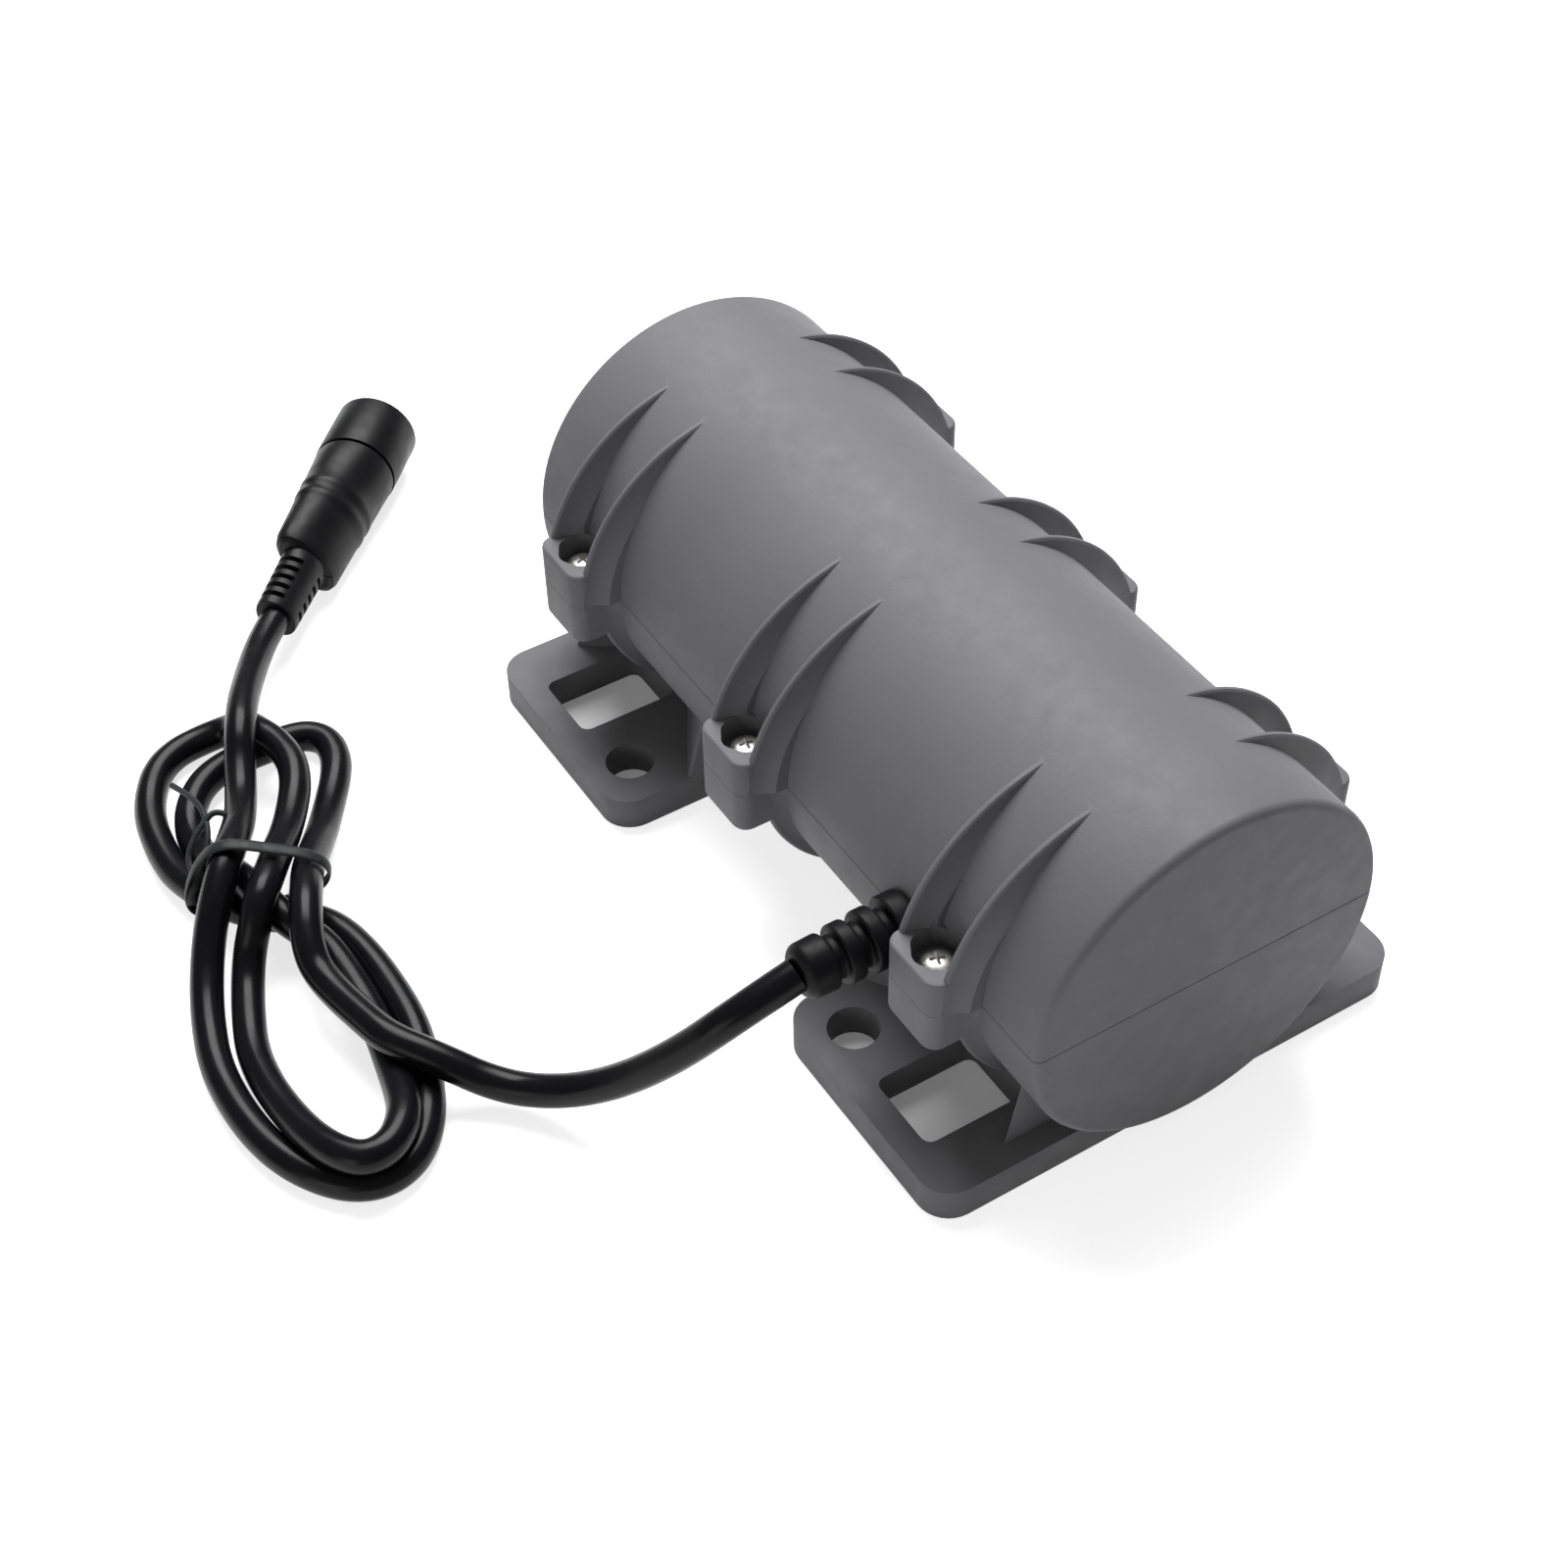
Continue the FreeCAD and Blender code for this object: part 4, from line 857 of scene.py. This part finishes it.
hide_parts("connector_body")
print("socket grip:", len(socket.data.polygons), "faces")

# %% [markdown]
# ## Twist tie
# A twist tie is a thin wire between two strips of soft jacket. It goes once round the bundle and
# its two ends are twisted together. The band is a ring of edges drawn round the bundle's section,
# pulled out to the band's width and given a thickness. Its twist and its two loose ends are thin
# smooth lines.

# %% Twist tie
TIE_WIDTH, TIE_THICKNESS, TIE_TURN, TIE_PLACE = 2.0, 0.6, 62, (-32.2, -78.0)
TIE_RING = [(-10.9, 3.2), (-9.9, 7.0), (-8.0, 10.6), (-5.9, 12.8), (-3.4, 13.3), (-0.4, 12.4),
            (3.0, 11.4), (6.2, 10.4), (8.1, 8.5), (8.0, 6.0), (5.9, 4.0), (2.4, 2.4),
            (-2.0, 1.0), (-6.6, 0.7), (-9.9, 0.9)]
twist_tie = drawn_line("twist_tie_band",
                       [(*place, -TIE_WIDTH / 2) for place in TIE_RING + TIE_RING[:1]])
bpy.ops.mesh.remove_doubles(threshold=SAME_PLACE)
bpy.ops.mesh.extrude_region_move(TRANSFORM_OT_translate={"value": (0, 0, TIE_WIDTH * MM)})
bpy.ops.mesh.select_all(action="SELECT")
bpy.ops.mesh.normals_make_consistent(inside=False)
bpy.ops.object.mode_set(mode="OBJECT")
apply_modifier(twist_tie, "SOLIDIFY", thickness=TIE_THICKNESS * MM, offset=0)
apply_modifier(twist_tie, "SUBSURF", levels=2, render_levels=2)
twist_tie.rotation_euler = (math.radians(90), 0, math.radians(TIE_TURN))
twist_tie.location = (TIE_PLACE[0] * MM, TIE_PLACE[1] * MM, 0)
settle(twist_tie)
TIE_ENDS = {
    "twist_tie_knot": (1.7, [(-36.3, -86.9, 3.4), (-36.9, -86.8, 4.8), (-36.9, -85.9, 6.0),
                             (-37.7, -84.9, 6.8)]),
    "twist_tie_end": (0.8, [(-36.6, -86.6, 5.0), (-37.3, -85.4, 6.3), (-39.4, -82.6, 8.2),
                            (-43.0, -81.0, 9.6), (-47.6, -80.7, 9.2), (-53.3, -81.9, 7.4)]),
    "twist_tie_curl": (0.8, [(-36.9, -86.5, 4.6), (-37.6, -85.6, 6.6), (-39.8, -85.4, 7.2),
                             (-41.2, -84.2, 8.2), (-42.7, -81.8, 9.3), (-43.6, -79.6, 10.0),
                             (-42.6, -78.6, 9.4)])}
ends = []
for name, (thick, places) in TIE_ENDS.items():
    end = soft_line(name, in_metres(places), thick * MM, 8)
    pick(end)
    bpy.ops.object.convert(target="MESH")
    ends.append(new_piece(name))
pick(*ends, twist_tie)
bpy.ops.object.join()
smooth(twist_tie, 60)
dress(twist_tie, tie_jacket)
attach(twist_tie, "housing")
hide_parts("twist_tie")
print("twist tie:", len(twist_tie.data.polygons), "faces")

# %% [markdown]
# The cord gets its finish and joins the case's body, and it stands in for its three CAD solids,
# which are hidden. The socket and the tie are joined to the same body.

# %% Cord finish
dress(power_cord, cord_jacket)
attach(power_cord, "housing")
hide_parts("power_cord_lead", "cord_hank", "power_cord_tail")

# %% [markdown]
# ## Floor
# The part stands on a plain white table. The floor shows a little of its own light to the camera
# and to reflections only, so that open floor is pure white while the soft contact shadow stays. It
# shows more of it far away, where the lamps hardly reach. In a box under the feet most of that
# light is left out, which paints shade on the floor seen through the slots. The lamps' light on
# the part is unchanged.


# %% Floor
def calculate(tree, operation, *inputs):
    """A Math node's output; each input is a number or the output of another node."""
    node = tree.nodes.new("ShaderNodeMath")
    node.operation = operation
    for entry, value in zip(node.inputs, inputs):
        if isinstance(value, (int, float)):
            entry.default_value = value
        else:
            tree.links.new(value, entry)
    return node.outputs["Value"]


bpy.ops.object.select_all(action="DESELECT")
bpy.ops.mesh.primitive_plane_add(size=6)
floor = settle(new_piece("floor"))
floor_finish = bpy.data.materials.new("white_table")
floor_finish.use_nodes = True
tree = floor_finish.node_tree
nodes, links = tree.nodes, tree.links
nodes.remove(nodes["Principled BSDF"])
where = nodes.new("ShaderNodeTexCoord").outputs["Object"]
distance = nodes.new("ShaderNodeVectorMath")
distance.operation = "LENGTH"
links.new(where, distance.inputs[0])
further = nodes.new("ShaderNodeMapRange")
for entry, setting in (("From Min", 0.3), ("From Max", 0.9), ("To Min", 0.74), ("To Max", 0.92)):
    further.inputs[entry].default_value = setting
links.new(distance.outputs["Value"], further.inputs["Value"])

# Painted shade: inside this box under the feet the floor's own light is mostly left out, so the
# floor seen through the slots is painted darker
PAINTED_SHADE_AREA = (("X", 36.5, 15.5), ("Y", 0, 32))  # along each axis: the middle and the reach
PAINTED_SHADE_DEPTH = 0.85  # share of the floor's own light that is missing under the feet
split = nodes.new("ShaderNodeSeparateXYZ")
links.new(where, split.inputs["Vector"])
inside_painted_shade = [calculate(tree, "COMPARE", calculate(tree, "ABSOLUTE", split.outputs[axis]),
                    middle * MM, reach * MM) for axis, middle, reach in PAINTED_SHADE_AREA]
painted_shade_under_feet = calculate(tree, "MULTIPLY", *inside_painted_shade)
own_light_less_painted_shade = calculate(tree, "MULTIPLY_ADD", painted_shade_under_feet, -PAINTED_SHADE_DEPTH, 1)
seen = nodes.new("ShaderNodeLightPath").outputs
shown = calculate(tree, "MAXIMUM", seen["Is Camera Ray"], seen["Is Glossy Ray"])
share = calculate(tree, "MULTIPLY", calculate(tree, "MULTIPLY", shown, own_light_less_painted_shade),
                  further.outputs["Result"])

plain = nodes.new("ShaderNodeBsdfDiffuse")
plain.inputs["Color"].default_value = (0.8, 0.8, 0.8, 1)
own_light = nodes.new("ShaderNodeEmission")
own_light.inputs["Color"].default_value = (1, 1, 1, 1)
links.new(share, own_light.inputs["Strength"])
both = nodes.new("ShaderNodeAddShader")
links.new(plain.outputs["BSDF"], both.inputs[0])
links.new(own_light.outputs["Emission"], both.inputs[1])
links.new(both.outputs["Shader"], nodes["Material Output"].inputs["Surface"])
dress(floor, floor_finish)
print("floor made")

# %% [markdown]
# ## World and lamps
# The camera sees a white backdrop, but the backdrop lights the part only weakly. The light comes
# from a large soft lamp high behind the part, on its left, and from a weak one low in front.

# %% World and lamps
world = bpy.data.worlds.new("studio")
bpy.context.scene.world = world
world.use_nodes = True
tree = world.node_tree
nodes, links = tree.nodes, tree.links
backdrop = nodes["Background"]
backdrop.inputs["Color"].default_value = (1, 1, 1, 1)
FILL_LIGHT = 0.19
fill = nodes.new("ShaderNodeBackground")
fill.inputs["Color"].default_value = (1, 1, 1, 1)
fill.inputs["Strength"].default_value = FILL_LIGHT
seen = nodes.new("ShaderNodeLightPath").outputs
mix = nodes.new("ShaderNodeMixShader")
links.new(calculate(tree, "MAXIMUM", seen["Is Camera Ray"], seen["Is Transmission Ray"]),
          mix.inputs["Fac"])
links.new(fill.outputs["Background"], mix.inputs[1])
links.new(backdrop.outputs["Background"], mix.inputs[2])
links.new(mix.outputs["Shader"], nodes["World Output"].inputs["Surface"])


def soft_box(name, place, size, watts):
    """A square soft lamp at a place in metres, aimed at the origin."""
    data = bpy.data.lights.new(name, "AREA")
    data.size = size
    data.energy = watts
    lamp = bpy.data.objects.new(name, data)
    lamp.location = place
    lamp.rotation_euler = Vector(place).to_track_quat("Z", "Y").to_euler()
    bpy.context.scene.collection.objects.link(lamp)


soft_box("top_lamp", (-0.42, 0.2, 0.75), 0.6, 12.2)
soft_box("front_lamp", (0.35, -0.85, 0.16), 0.5, 1.5)

# %% [markdown]
# ## Finish
# The view transform is set to Standard, so that a colour shows as it is written.

# %% View transform
bpy.context.scene.view_settings.view_transform = "Standard"
